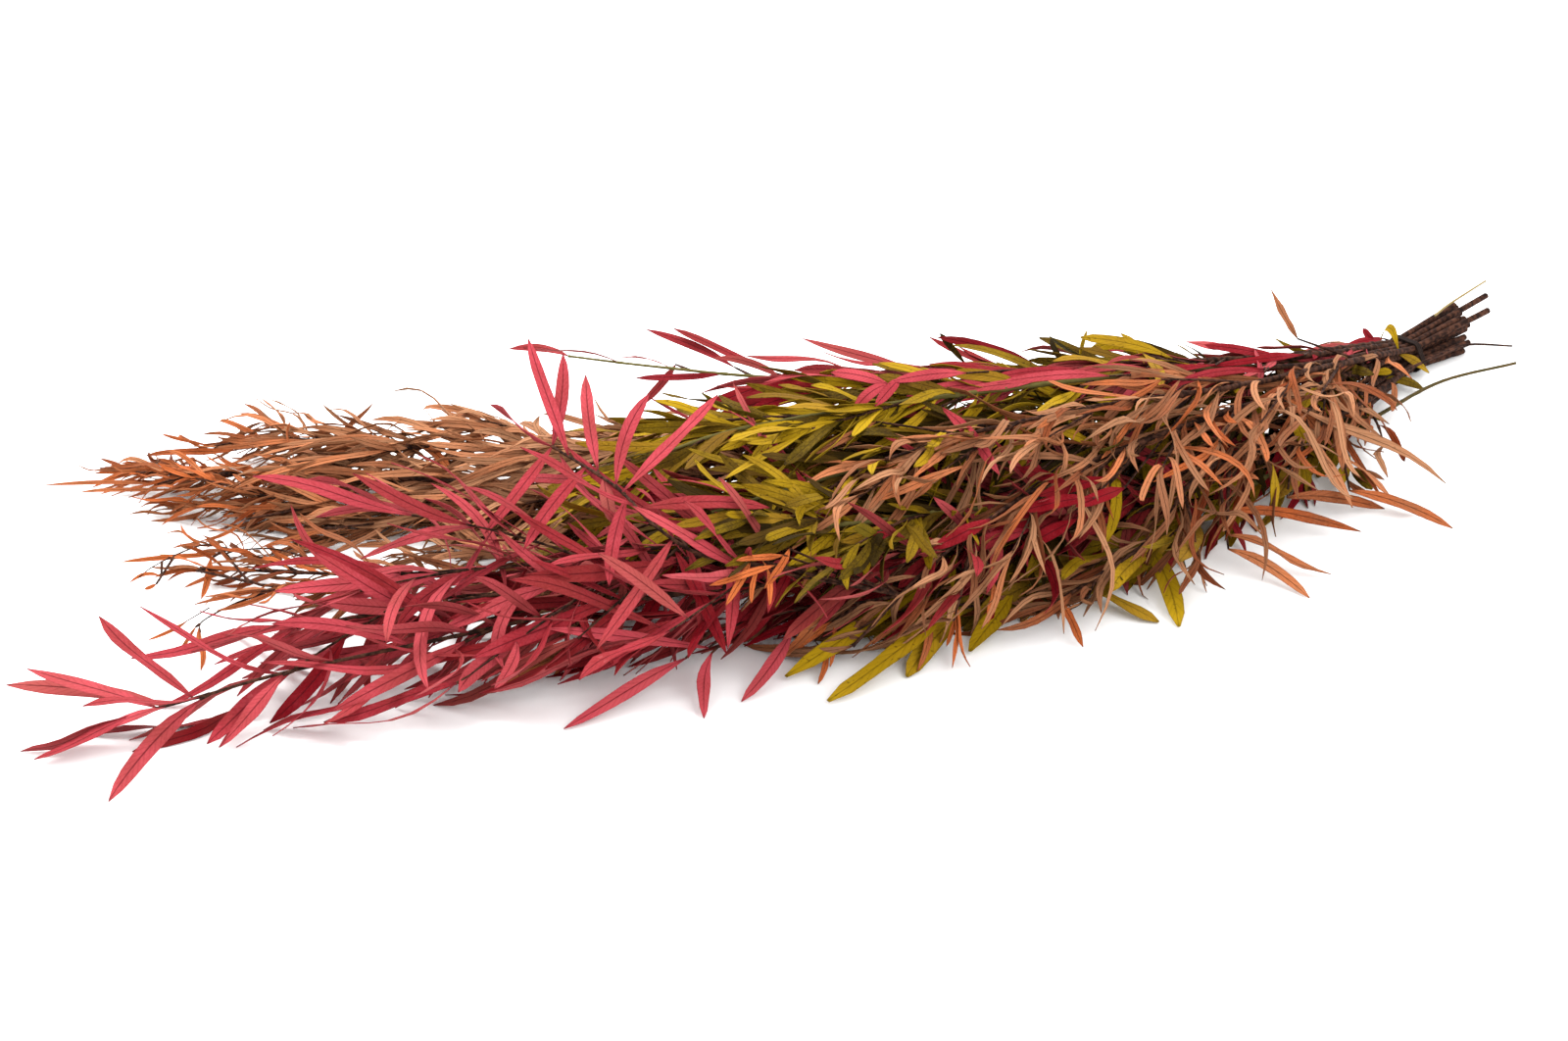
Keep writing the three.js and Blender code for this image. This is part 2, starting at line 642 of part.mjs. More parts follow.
// All the pieces of a branch as one body, without loose scraps or sealed hollows.
function fuse(geometries) {
  const joined = wasm.Manifold.union(geometries.map(solidOf));
  const body = joined.decompose().reduce((best, next) => (next.volume() > best.volume() ? next : best));
  const mesh = body.getMesh();
  const geometry = new THREE.BufferGeometry();
  geometry.setAttribute("position", new THREE.BufferAttribute(mesh.vertProperties, mesh.numProp));
  geometry.setIndex(new THREE.BufferAttribute(mesh.triVerts, 1));
  geometry.computeVertexNormals();
  return geometry;
}

// Stems first, then the marked leaves, then twigs, so that each later growth gives way to the earlier.
const stems = BRANCHES.map(routeStem);
const marks = BRANCHES.map((branch, owner) =>
  branch.marked.map((mark) => growMarked(mark, foliageOf(branch), stems[owner])),
);
const shoots = [...stems];
for (const { stalks, leaf } of marks.flat()) shoots.push(...stalks, leafLine(leaf));
const grown = BRANCHES.map((branch, owner) => {
  const twigs = growTwigs(owner, branch, stems[owner], shoots);
  shoots.push(...twigs);
  return { branch, dye: foliageOf(branch), stem: stems[owner], twigs, leaves: [] };
});

const taken = []; // every box of the bunch so far, with the branch and the shoot that it belongs to
function take(boxes, owner, shoot) {
  for (const box of boxes) taken.push({ box, owner, shoot });
}

// Keeps a growth if it is clear of all other branches and, unless it mingles with its own branch, of all but
// its own shoot.
function settle(boxes, owner, shoot, mingles) {
  const clear = taken.every((other) => {
    if (other.shoot === shoot || (mingles && other.owner === owner)) return true;
    const margin = other.owner === owner ? SISTER_CLEARANCE : LEAF_CLEARANCE;
    return boxes.every((box) => boxesClear(box, other.box, margin));
  });
  if (clear) take(boxes, owner, null);
  return clear;
}

stems.forEach((stem, owner) => {
  take(boxesOfShoot({ ...stem, line: [stem.cut, ...stem.line] }), owner, stem);
});
marks.forEach((found, owner) => {
  const { stem, twigs, leaves } = grown[owner];
  for (const { stalks, leaf } of found) {
    const boxes = [...stalks.flatMap(boxesOfShoot), ...boxesOfLeaf(leaf)];
    if (!settle(boxes, owner, stem, true)) continue;
    for (const stalk of stalks) twigs.push({ ...stalk, leaf });
    if (!stalks.length) leaves.push(leaf);
  }
});
grown.forEach(({ twigs }, owner) => {
  for (const twig of twigs) if (!twig.leaf) take(boxesOfShoot(twig), owner, twig);
});

// The other leaves: those that end a shoot come first, and what would cross another growth is left out.
const candidates = grown.flatMap(({ branch, dye, stem, twigs }, owner) => {
  const dice = makeDice(LEAF_SEED + owner);
  const { from, to } = branch.twigs;
  const leafyFrom = (from + to) / 2;
  const ofShoot = (shoot, start, end, spacing) =>
    growLeaves(shoot, dye, start, end, spacing, dice).map((leaf) => ({ leaf, owner, shoot }));
  return [
    ...ofShoot(stem, leafyFrom, 1, dye.spacing),
    ...ofShoot(stem, LOW_LEAVES * from, leafyFrom, 3 * dye.spacing),
    ...twigs.filter((twig) => !twig.leaf).flatMap((twig) => ofShoot(twig, 0.3, 1, dye.spacing)),
  ];
});
candidates.sort((a, b) => b.leaf.last - a.leaf.last);
for (const { leaf, owner, shoot } of candidates) {
  if (!settle(boxesOfLeaf(leaf), owner, shoot, false)) continue;
  if (leaf.last && shoot !== stems[owner]) shoot.leaf = leaf;
  else grown[owner].leaves.push(leaf);
}

// The tie: a flat band drawn tight round the packed stems, so its outline is their common hull.
function hullOf(radius) {
  const spots = BRANCHES.flatMap(({ row, place }) => {
    const centre = new THREE.Vector2(sidestep(row, place), row * ROW_PITCH);
    return Array.from({ length: 16 }, (_, k) => {
      const turn = (2 * Math.PI * k) / 16;
      return new THREE.Vector2(Math.cos(turn), Math.sin(turn)).multiplyScalar(radius).add(centre);
    });
  });
  spots.sort((a, b) => a.x - b.x || a.y - b.y);
  const turnsLeft = (a, b, c) => b.clone().sub(a).cross(c.clone().sub(b)) > 1e-6;
  const chain = (points) => {
    const kept = [];
    for (const point of points) {
      while (kept.length > 1 && !turnsLeft(kept.at(-2), kept.at(-1), point)) kept.pop();
      kept.push(point);
    }
    return kept.slice(0, -1);
  };
  return [...chain(spots), ...chain([...spots].reverse())];
}

function makeTie() {
  const inner = STEM_RADIUS + TIE_CLEARANCE;
  const outline = new THREE.Shape(hullOf(inner + TIE_THICKNESS));
  outline.holes.push(new THREE.Path(hullOf(inner)));
  const geometry = new THREE.ExtrudeGeometry(outline, { depth: TIE_WIDTH, bevelEnabled: false });
  geometry.translate(0, LOWEST_ROW, -TIE_WIDTH / 2);
  const material = new THREE.MeshStandardMaterial({ color: 0x4a3a30, roughness: 0.8, metalness: 0 });
  const tie = new THREE.Mesh(geometry, material);
  tie.name = "tie_band";
  tie.matrixAutoUpdate = false;
  const middle = NECK.clone().addScaledVector(NECK_AXIS, TIE_PLACE);
  tie.matrix.makeBasis(NECK_SIDE, UP, NECK_AXIS).setPosition(middle);
  return tie;
}

function makeBranch({ branch, dye, stem, twigs, leaves }) {
  const line = [stem.cut, ...stem.line];
  const geometry = fuse([
    loft(shootRings({ line, taper: stem.taper }, STEM_SIDES)),
    ...twigs.map(twigGeometry),
    ...leaves.map((leaf) => loft(bladeRings(leaf))),
  ]);
  const material = new THREE.MeshStandardMaterial({ color: dye.color, roughness: 0.75, metalness: 0 });
  const mesh = new THREE.Mesh(geometry, material);
  mesh.name = branch.name;
  return mesh;
}

const bunch = new THREE.Group();
bunch.add(makeTie(), ...grown.map(makeBranch));
bunch.position.copy(TO_MIDDLE);

export default bunch;
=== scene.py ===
"""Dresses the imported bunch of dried, dyed narrow-leaved eucalyptus around its fixed frame.

The twigs and leaves grow by the same rules and the same dice as in the part's own source, so that every
branch stays where its node is. Growth is worked out in millimetres in the table's own coordinates, and it is
turned into metres in the row frame where a mesh is made.
"""

import functools
import math
from dataclasses import dataclass, field, replace

import bpy
import numpy as np
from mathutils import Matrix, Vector


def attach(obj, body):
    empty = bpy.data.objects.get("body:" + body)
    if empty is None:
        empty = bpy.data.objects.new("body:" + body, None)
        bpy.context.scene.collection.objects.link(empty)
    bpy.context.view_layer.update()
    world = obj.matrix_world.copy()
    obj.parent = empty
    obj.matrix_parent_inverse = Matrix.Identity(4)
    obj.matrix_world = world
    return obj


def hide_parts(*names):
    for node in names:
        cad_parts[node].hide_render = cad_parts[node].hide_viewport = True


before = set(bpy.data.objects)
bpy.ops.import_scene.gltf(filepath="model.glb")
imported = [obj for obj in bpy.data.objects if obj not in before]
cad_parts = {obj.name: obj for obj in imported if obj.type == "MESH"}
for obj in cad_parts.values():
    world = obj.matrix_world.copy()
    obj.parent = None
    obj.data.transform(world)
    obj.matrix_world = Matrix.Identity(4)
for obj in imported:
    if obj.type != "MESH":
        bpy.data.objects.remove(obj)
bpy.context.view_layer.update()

bl_info = {
    "name": "Dried Eucalyptus Bunch",
    "version": (1, 0, 0),
    "blender": (4, 5, 0),
    "location": "View3D > Sidebar > Eucalyptus",
    "description": "Grows a tied bunch of dried, dyed narrow-leaved eucalyptus around its packed frame",
    "category": "Add Mesh",
}

MM = 0.001
UP = np.array([0.0, 0.0, 1.0])
TO_MIDDLE = np.array([3.6, -9.5, 0.0])  # from the table's coordinates to the row frame

# The neck, where the stems are packed row on row inside the tie. Their cut ends fan out and rise beyond it.
NECK = np.array([302.0, 32.0, 0.0])
NECK_HEADING = math.radians(21)
NECK_AXIS = np.array([math.cos(NECK_HEADING), math.sin(NECK_HEADING), 0.0])
NECK_SIDE = np.array([-NECK_AXIS[1], NECK_AXIS[0], 0.0])
STEM_PITCH = 3.5
ROW_PITCH = 3.0
MIDDLE_PLACE = 2
BUTT_FAN = 0.5
BUTT_RISE = 0.02
BUTT_PIECES = 8
CUT_THICKNESS = 0.05

TIE_THICKNESS = 1.0
TIE_CLEARANCE = 0.45
TIE_PLACE = 2.0
TIE_PIECES = 96
TIE_STRANDS = 3
STRAND_PITCH = 1.07
STRAND_SIDES = 10
STRAND_RELIEF = 0.05
STEM_CORNERS = 16  # of each stem's circle, which the tie is drawn round
HULL_TURN = 1e-6  # the tie runs straight on where it would turn less

# Stems and twigs taper towards their tips. The coarse lines are those of the solids.
STEM_RADIUS = 1.55
STEM_TIP_RADIUS = 0.65
STEM_STEPS = 11
LOWEST_ROW = TIE_THICKNESS + TIE_CLEARANCE + STEM_RADIUS
TWIG_RADIUS = 0.85
TWIG_TIP_RADIUS = 0.45
TWIG_SHARE = 0.75  # of its stem's girth
TWIG_STEPS = 2
TWIG_CLEARANCE = 0.5
TWIG_FLOOR = TWIG_RADIUS + 0.2
OWN_STEM_FROM = 0.3  # a twig clears its own stem from this share of itself
ARC_STEPS = 200
PARALLEL = 1e-9

# The dice, and what they decide of a twig and of a leaf. Angles are in degrees, and the others are factors.
WORD = 2**32
DICE_START, DICE_FACTOR, DICE_STEP = 2654435761, 1664525, 1013904223
TWIG_SEED = 100
TWIG_SHIFT = (-0.015, 0.015)
TWIG_RISE = (-30, 30)
TWIG_TURNS = (0, 30, -30, 60, -60, 180, 150, -150)  # tried in turn until a twig is clear
TWIG_SPLAY = (0.7, 1.3)
TWIG_REACH = (0.75, 1.2)
TWIG_SAG = (0.05, 0.35)
SAG_BEND = 0.6
FORWARD_BEND = 0.15
NEAR_ODDS = 0.75
LEAF_SEED = 7000
LEAF_WAY = (-55, 55)
LEAF_SPREAD = (0.5, 1.5)
LAST_SPREAD = 0.3
LEAF_FLATNESS = 0.7
LEAF_LENGTH = (0.65, 1.15)
LEAF_DROOP = (0, 1.6)
LEAF_WIDTH = (0.8, 1.15)
LEAF_BOW = (-1, 1)
LEAF_ARCH = (-0.4, 1)
LEAF_ROLL = (-65, 65)
LOW_LEAVES = 0.5  # a stem's leaves start at this share of the way to its first twig
LOW_SPACING = 3  # how much further apart they are there
TWIG_LEAVES = 0.3  # the share of a twig that is bare

# A marked leaf, and the stalk that it gets where its root stands off the stem.
MARKED_GIRTH = 1.5
MARKED_WIDTH = 1.1
MARKED_ARCH = 0.08
MARKED_ROLL = 90
STEM_MARKS = 100
STALK_FROM = 2.5
STALK_SLANT = 1.1
FIRST_STALK = 0.03

# Where the foliage ends on the near side, at the surface. What stands higher reaches out further, and a twig
# or a leaf that would reach beyond bends most of the way back.
NEAR_EDGE = np.array(
    [
        (-338, -89), (-305, -85), (-248, -74), (-208, -75), (-136, -86), (-77, -90), (-10, -113), (41, -109),
        (111, -106), (169, -81), (236, -44), (268, -18),
    ]
)
OVERHANG = 1.85  # for each millimetre of height
BENT_BACK = 0.75

# What the drawn growth has beyond the solids: finer lines, nodes on the bark and many more leaves.
STEM_DRAWN = 21  # drawn pieces for each coarse one
TWIG_DRAWN = 16  # drawn pieces of a twig in all
STEM_DRAWN_TIP = 0.56
TWIG_DRAWN_TIP = 0.3
WOOD_SIDES = 8
NODE_SWELLING = 0.3
NODE_REACH = 1.6
GREENING = 4  # how fast bark turns green along a stem, and how green it gets
GREENEST = 0.8
FILL_SEED = 9000
FILL_FROM = 0.12  # the share of a twig that is bare
POINTS_BACK = 10  # no filling leaf reaches further back towards the neck than this
NEAR_LIMIT = -156  # and none further out to the near side than this
STALK_JOINS = 1.2
LOOSE_STALK = (0.65, 0.45)
FACE_ROLL = 20  # a marked leaf's face is turned this much to the near side
LOOSE_ROLL = 20  # and a loose leaf's is too, beyond its own roll
LOOK_SEED = 400
CALM = 0.4  # how far a marked leaf twists and sways, beside the others


@dataclass(frozen=True)
class Twigs:
    """How many twigs a branch has, on which stretch of its stem, how far they reach and how they stand."""

    count: int
    start: float
    end: float
    reach: tuple  # of the first and of the last
    splay: float
    lift: float
    side: int = 0  # -1 where most of them grow to the near side


@dataclass(frozen=True)
class Branch:
    """One branch: its place in the neck, its bare butt, its route and the leaves that stand out."""

    name: str
    row: int
    place: int
    butt: float
    route: tuple
    twigs: Twigs
    marked: tuple = ()  # the root, the tip and the bow of each
    leaf: dict = field(default_factory=dict)  # what goes before its dye lot's own

    @property
    def dye(self):
        return self.name.split("_")[0]

    @property
    def foliage(self):
        return replace(DYES[self.dye], **self.leaf)


@dataclass(frozen=True)
class Dye:
    """A dye lot's foliage: leaf size, distance between leaves, and how they stand and rise."""

    length: float
    width: float
    spacing: float
    spread: float
    rise: float
    droop: float
    bow: float
    arch: float


DYES = {
    "red": Dye(58, 6, 27, 30, 34, 0.1, 0.4, 0.14),
    "olive": Dye(46, 4.6, 23, 26, 16, 0.14, 0.24, 0.15),
    "copper": Dye(32, 3, 21, 34, 16, 0.2, 0.5, 0.3),
}

BRANCHES = (
    Branch(
        "red_branch_1", row=3, place=0, butt=52,
        route=((240, 8, 30), (153, -8, 42), (60, 0, 48), (-20, 45, 46), (-64, 90, 40), (-92, 122, 36)),
        leaf=dict(length=40, width=3.6, spread=22, rise=8),
        twigs=Twigs(5, 0.3, 0.62, (60, 40), 18, -10),
        marked=(
            ((-17, 60, 42), (-47, 104, 50), 0.1),
            ((-30, 70, 42), (-56, 116, 46), -0.1),
            ((-50, 93, 37), (-72, 80, 26), 0.2),
        ),
    ),
    Branch(
        "red_branch_2", row=3, place=1, butt=71,
        route=((220, -8, 38), (140, -20, 54), (60, -14, 61), (-10, 4, 64)),
        leaf=dict(length=46, width=4.2, spread=22, rise=8),
        twigs=Twigs(4, 0.25, 0.8, (60, 40), 16, -15),
        marked=(
            ((35, 8, 54), (-8, 43, 64), 0.15),
            ((86, -4, 54), (48, 22, 64), -0.15),
            ((194, -6, 44), (162, -1, 52), 0.3),
            ((125, -29, 52), (98, -48, 52), -0.3),
        ),
    ),
    Branch(
        "copper_branch_1", row=2, place=0, butt=58,
        route=(
            (220, -2, 26), (140, -14, 34), (30, -14, 36), (-75, 18, 36), (-130, 42, 30), (-176, 80, 26),
            (-238, 130, 17),
        ),
        twigs=Twigs(7, 0.35, 0.93, (62, 38), 24, 0),
    ),
    Branch(
        "copper_branch_2", row=1, place=0, butt=45,
        route=(
            (215, -8, 18), (135, -25, 24), (30, -32, 27), (-78, 4, 26), (-133, 27, 22), (-204, 74, 18),
            (-292, 134, 8),
        ),
        twigs=Twigs(7, 0.35, 0.93, (75, 45), 26, 5),
    ),
    Branch(
        "copper_branch_3", row=0, place=0, butt=50,
        route=(
            (215, -9, 9), (130, -34, 14), (10, -46, 16), (-104, -6, 14), (-163, 36, 12), (-226, 70, 9),
            (-276, 98, 6),
        ),
        twigs=Twigs(7, 0.35, 0.93, (75, 45), 26, 5),
    ),
    Branch(
        "copper_branch_4", row=0, place=1, butt=40,
        route=((210, -19, 8), (120, -44, 10), (0, -60, 12), (-110, -40, 13), (-196, -14, 12), (-284, 38, 7)),
        twigs=Twigs(7, 0.4, 0.93, (70, 50), 30, 5),
    ),
    Branch(
        "red_branch_3", row=0, place=3, butt=44,
        route=(
            (200, -38, 10), (80, -85, 19), (-65, -98, 28), (-149, -97, 32), (-215, -92, 28), (-275, -84, 22),
            (-311, -80, 16), (-334, -75, 11),
        ),
        leaf=dict(length=64, width=6.2, spread=28),
        twigs=Twigs(6, 0.35, 0.78, (75, 55), 16, 5),
        marked=(
            ((-311, -80, 16), (-337, -35, 34), 0.2),
            ((-320, -78, 14), (-375, -29, 8), -0.1),
            ((-325, -76, 13), (-367, -37, 18), 0.1),
            ((-323, -78, 13), (-362, -68, 2), 0.25),
            ((-334, -75, 11), (-373, -78, 2), 0.25),
            ((-309, -82, 16), (-352, -116, 1), -0.15),
            ((-277, -86, 22), (-306, -96, 2), 0.1),
        ),
    ),
    Branch(
        "red_branch_4", row=1, place=2, butt=48,
        route=(
            (205, -28, 19), (90, -66, 33), (-53, -84, 40), (-147, -89, 40), (-210, -75, 34), (-264, -55, 24),
        ),
        leaf=dict(length=62, width=6.6),
        twigs=Twigs(6, 0.55, 0.93, (80, 55), 26, 10),
    ),
    Branch(
        "red_branch_5", row=2, place=2, butt=50,
        route=(
            (205, -22, 28), (92, -53, 38), (-45, -72, 44), (-119, -84, 46), (-181, -74, 44), (-220, -53, 38),
        ),
        leaf=dict(length=62, width=6.6),
        twigs=Twigs(4, 0.7, 0.93, (72, 50), 24, 0),
    ),
    Branch(
        "red_branch_6", row=1, place=3, butt=40,
        route=(
            (198, -38, 18), (60, -84, 25), (-50, -108, 35), (-106, -110, 50), (-127, -98, 62),
            (-135, -71, 69), (-149, -33, 72),
        ),
        twigs=Twigs(2, 0.4, 0.6, (45, 45), 16, 0),
        marked=(
            ((-144, -42, 72), (-145, 8, 102), 0.05),
            ((-149, -33, 72), (-133, -1, 97), -0.15),
            ((-138, -58, 71), (-129, -18, 94), 0.1),
            ((-135, -71, 70), (-112, -48, 96), 0.3),
            ((-134, -76, 69), (-78, -36, 84), -0.1),
            ((-148, -35, 72), (-186, -58, 52), 0.1),
            ((-140, -54, 71), (-178, -84, 56), -0.1),
            ((-137, -64, 70), (-140, -79, 58), 0),
            ((-134, -80, 68), (-152, -110, 48), -0.15),
            ((-131, -88, 67), (-80, -98, 62), 0.25),
            ((-122, -102, 59), (-165, -132, 34), 0.1),
        ),
    ),
    Branch(
        "red_branch_7", row=0, place=2, butt=42,
        route=((200, -31, 6), (70, -74, 9), (-20, -95, 13), (-85, -100, 14), (-138, -98, 12)),
        leaf=dict(length=50, width=5.4, spread=24),
        twigs=Twigs(6, 0.3, 0.85, (50, 32), 13, 0),
        marked=(
            ((-113, -115, 14), (-177, -106, 32), 0.1),
            ((-123, -116, 12), (-179, -131, 1), 0.05),
            ((-112, -116, 12), (-126, -144, 1), -0.2),
            ((-76, -112, 12), (-108, -138, 1), 0.2),
        ),
    ),
    Branch(
        "olive_branch_1", row=3, place=2, butt=42,
        route=(
            (215, -17, 38), (150, -32, 54), (56, -38, 64), (-13, -36, 66), (-69, -28, 62), (-108, -22, 52),
        ),
        leaf=dict(rise=10),
        twigs=Twigs(6, 0.42, 0.93, (66, 46), 26, -10),
        marked=(((142, -24, 57), (104, -8, 67), -0.3), ((129, -20, 60), (118, -58, 62), 0.2)),
    ),
    Branch(
        "olive_branch_2", row=2, place=1, butt=54,
        route=((215, -12, 28), (140, -32, 42), (36, -50, 50), (-40, -66, 53), (-95, -72, 50)),
        twigs=Twigs(7, 0.3, 0.93, (70, 45), 26, 5),
    ),
    Branch(
        "olive_branch_3", row=1, place=1, butt=55,
        route=((205, -20, 19), (100, -50, 22), (38, -75, 30), (-16, -95, 44), (-70, -102, 52)),
        twigs=Twigs(7, 0.3, 0.93, (62, 42), 26, 0),
    ),
    Branch(
        "olive_branch_4", row=0, place=4, butt=36,
        route=((205, -42, 7), (106, -86, 9), (43, -106, 9), (0, -116, 9)),
        leaf=dict(length=58, width=7.6, spacing=30, spread=20),
        twigs=Twigs(5, 0.5, 0.93, (45, 36), 20, 0),
        marked=(
            ((96, -92, 9), (79, -152, 2), 0.15),
            ((54, -108, 9), (74, -144, 1), -0.2),
            ((-2, -106, 24), (-86, -130, 3), 0.1),
            ((-8, -121, 14), (-77, -152, 2), 0.12),
            ((-2, -118, 10), (-40, -145, 1), -0.1),
            ((22, -111, 9), (-9, -138, 2), 0.1),
        ),
    ),
    Branch(
        "copper_branch_5", row=2, place=3, butt=46,
        route=((210, -31, 33), (135, -70, 50), (47, -100, 52), (-14, -120, 38), (-58, -132, 12)),
        leaf=dict(length=42, width=3.2, spacing=24, spread=26, rise=6),
        twigs=Twigs(8, 0.25, 0.93, (42, 32), 30, -10, -1),
        marked=(
            ((181, -58, 44), (247, -90, 6), 0.1),
            ((166, -89, 14), (212, -96, 3), 0.3),
            ((209, -50, 40), (195, -86, 20), 0.1),
            ((188, -67, 34), (194, -98, 8), -0.1),
            ((-56, -113, 20), (-85, -118, 4), 0.1),
        ),
    ),
    Branch(
        "copper_branch_6", row=1, place=4, butt=36,
        route=((230, -34, 19), (180, -62, 30), (120, -90, 34), (84, -116, 24), (34, -128, 10)),
        leaf=dict(length=42, width=3.2, spacing=24, spread=26, rise=6),
        twigs=Twigs(8, 0.25, 0.93, (40, 30), 30, -10, -1),
        marked=(
            ((203, -76, 20), (226, -102, 2), -0.3),
            ((197, -90, 12), (232, -120, 1), 0.3),
            ((125, -109, 14), (160, -137, 2), -0.1),
            ((130, -100, 20), (190, -112, 4), 0.3),
            ((123, -114, 10), (142, -150, 1), 0.3),
        ),
    ),
    Branch(
        "copper_branch_7", row=3, place=3, butt=58,
        route=((215, -30, 42), (154, -58, 56), (90, -68, 64), (26, -74, 66), (-20, -76, 62)),
        leaf=dict(length=42, width=3.2, spacing=24, spread=24, rise=5),
        twigs=Twigs(7, 0.25, 0.93, (60, 42), 22, -20, -1),
        marked=(((220, -2, 44), (210, 8, 66), 0.3),),
    ),
)


@dataclass(frozen=True)
class Look:
    """What a branch's foliage is like beyond its dye: how deep and how faded it is, and how it fills out."""

    tone: tuple = (0.0, 1.0)
    age: tuple = (0.0, 0.25)
    fill: float = 1.0  # how many leaves fill it out
    fill_from: float = None  # over which share of the stem
    fill_to: float = 1.0
    length: float = 1.0  # the filling leaves' size and stance, beside the grown ones'
    width: float = 1.0
    spread: float = 1.0
    bow: float = 1.0
    rise: float = 1.0
    marked: float = 1.0  # a marked leaf's width beside that of its solid
    turn: float = 0.0  # how far its marked leaves are turned, in degrees
    lifted: float = 0.4  # how much lighter its marked leaves are
    green_from: float = 2.0  # the share of the stem from which the bark is green, if it is below 1


LONG_RED = Look(width=0.76, spread=1.8, bow=1.8, length=1.05, fill_from=0.6)
FULL_OLIVE = Look(tone=(-0.15, 1.5), fill=3.4, fill_from=0.1, spread=1.3, bow=1.8, green_from=0.3)
FAR_COPPER = Look(age=(-0.1, 0.3), fill=4.0, length=1.2, spread=0.7, rise=0.4)
NEAR_COPPER = Look(tone=(0.1, 1.2), age=(-0.6, 0.4), fill=2.1, spread=1.6, bow=1.6, marked=1.5)

LOOKS = {
    "red_branch_1": Look(
        tone=(0.3, 1.3), age=(0.0, 0.4), fill_from=0.03, fill_to=0.6, length=1.1, width=1.1, turn=-25,
        lifted=-0.1, green_from=0.62,
    ),
    "red_branch_2": Look(
        tone=(-0.2, 1.5), age=(0.0, 0.6), fill=1.1, fill_from=0.03, length=1.2, turn=-25, lifted=0.0,
    ),
    "red_branch_3": Look(
        tone=(0.25, 1.05), fill=1.2, fill_to=0.85, length=1.1, width=0.76, spread=1.7, bow=1.8,
    ),
    "red_branch_4": replace(LONG_RED, tone=(0.25, 1.1), fill=1.1, fill_from=0.5),
    "red_branch_5": replace(LONG_RED, tone=(0.1, 1.0)),
    "red_branch_6": Look(tone=(0.4, 1.0), fill_to=0.55, width=0.85, bow=1.2, marked=0.85),
    "red_branch_7": Look(
        tone=(0.6, 1.2), fill=1.5, fill_from=0.08, width=0.8, spread=1.3, bow=1.5, lifted=1.1, turn=-12,
    ),
    "olive_branch_1": Look(tone=(-0.3, 1.1), fill=2.8, fill_from=0.58, bow=1.8, green_from=0.3),
    "olive_branch_2": FULL_OLIVE,
    "olive_branch_3": replace(FULL_OLIVE, tone=(-0.1, 1.5), fill=3.2),
    "olive_branch_4": Look(
        tone=(-0.3, 0.3), age=(-0.2, 0.5), fill=1.6, length=1.1, spread=1.2, bow=1.5, green_from=0.3,
    ),
    "copper_branch_1": replace(FAR_COPPER, rise=0.15),
    "copper_branch_2": FAR_COPPER,
    "copper_branch_3": FAR_COPPER,
    "copper_branch_4": Look(age=(-0.1, 0.3), fill=2.2, length=1.1, spread=0.8),
    "copper_branch_5": NEAR_COPPER,
    "copper_branch_6": replace(NEAR_COPPER, marked=1.4),
    "copper_branch_7": Look(
        tone=(0.1, 1.2), age=(-0.5, 0.4), fill=2.0, fill_from=0.06, spread=1.5, bow=1.6, turn=-55,
    ),
}

# Copper leaves by place, from the far tips to the neck: how faded they are, and their size beside the usual.
COPPER_PLACES = (-300, -240, -205, -110, -50, 80, 160, 260)
COPPER_FADING = (0.0, 0.05, 0.55, 0.8, 0.8, 0.7, 0.5, 0.6)
COPPER_WIDTH = (0.65, 0.75, 0.95, 1.15, 1.1, 0.9, 0.92, 1.0)
COPPER_LENGTH = (0.7, 0.8, 1.35, 1.45, 1.3, 1.3, 1.35, 1.2)
COPPER_KEPT = (1.0, 1.0, 0.9, 0.9, 1.0, 1.0, 0.65, 0.35)  # the share of filling leaves left on
ODD_LEAVES = 0.14  # the share of leaves that are clearly more faded than the rest, and by how much
ODD_FADING = 0.5

# Painted shade: leaves deep inside the bunch are given a deeper tone. How high the bunch stands by place, how
# much deeper in tone a leaf is at the surface than at the top, and the depth at which its tone is the usual
# one.
CROWN_PLACES = (-340, -260, -150, -60, 60, 150, 215, 300)
CROWN_HEIGHTS = {
    "red": (4, 12, 44, 60, 70, 62, 50, 22),
    "olive": (14, 30, 60, 66, 70, 62, 50, 22),
    "copper": (8, 12, 26, 50, 70, 62, 50, 22),
}
PAINTED_DEPTH_SHADE = 0.8
USUAL_DEPTH = 0.3

# What stands clear at the edge of a branch. A shoot is its points, its radius at either end, and how green
# and how pale its bark is, if it is either. A leaf is its root, its tip, its width and its tone, and then its
# age, its bow, its roll and its arch, as far as these aren't the usual ones of loose_leaf.
LOOSE_SHOOTS = {
    "copper_branch_1": (
        (((-238, 131, 17), (-257, 136, 14), (-281, 144, 11)), 0.5, 0.25),
        (((-195, 97, 26), (-206, 105, 24)), 0.3, 0.3),
    ),
    "copper_branch_4": (
        (
            ((-248, 1, 10), (-268, 9, 12), (-273, 40, 12), (-280, 49, 12), (-300, 47, 8), (-309, 45, 4)),
            0.7, 0.25,
        ),
        (((-268, 9, 12), (-286, 35, 8)), 0.7, 0.5),
        (((-273, 40, 12), (-253, 32, 13), (-237, 14, 12)), 0.3, 0.5),
        (((-264, 4, 9), (-279, 2, 7), (-292, 0, 3), (-294, -8, 3)), 0.55, 0.25),
        (((-287, 7, 5), (-302, 0, 3)), 0.3, 0.2),
        (((-120, -37, 13), (-140, -66, 10), (-166, -84, 5)), 0.6, 0.3),
    ),
    "copper_branch_6": (
        (((255, -20, 6), (302, -1, 7), (345, 0, 9)), 0.95, 0.7, 0.3),
    ),
    "olive_branch_3": (
        (((278, 1, 14), (316, 15, 14), (333, 21, 12), (356, 19, 8)), 0.8, 0.5),
    ),
    "red_branch_1": (
        (((329, 47, 17), (340, 51, 20), (364, 57, 26)), 0.6, 0.45, 0.6, 0.3),
    ),
}
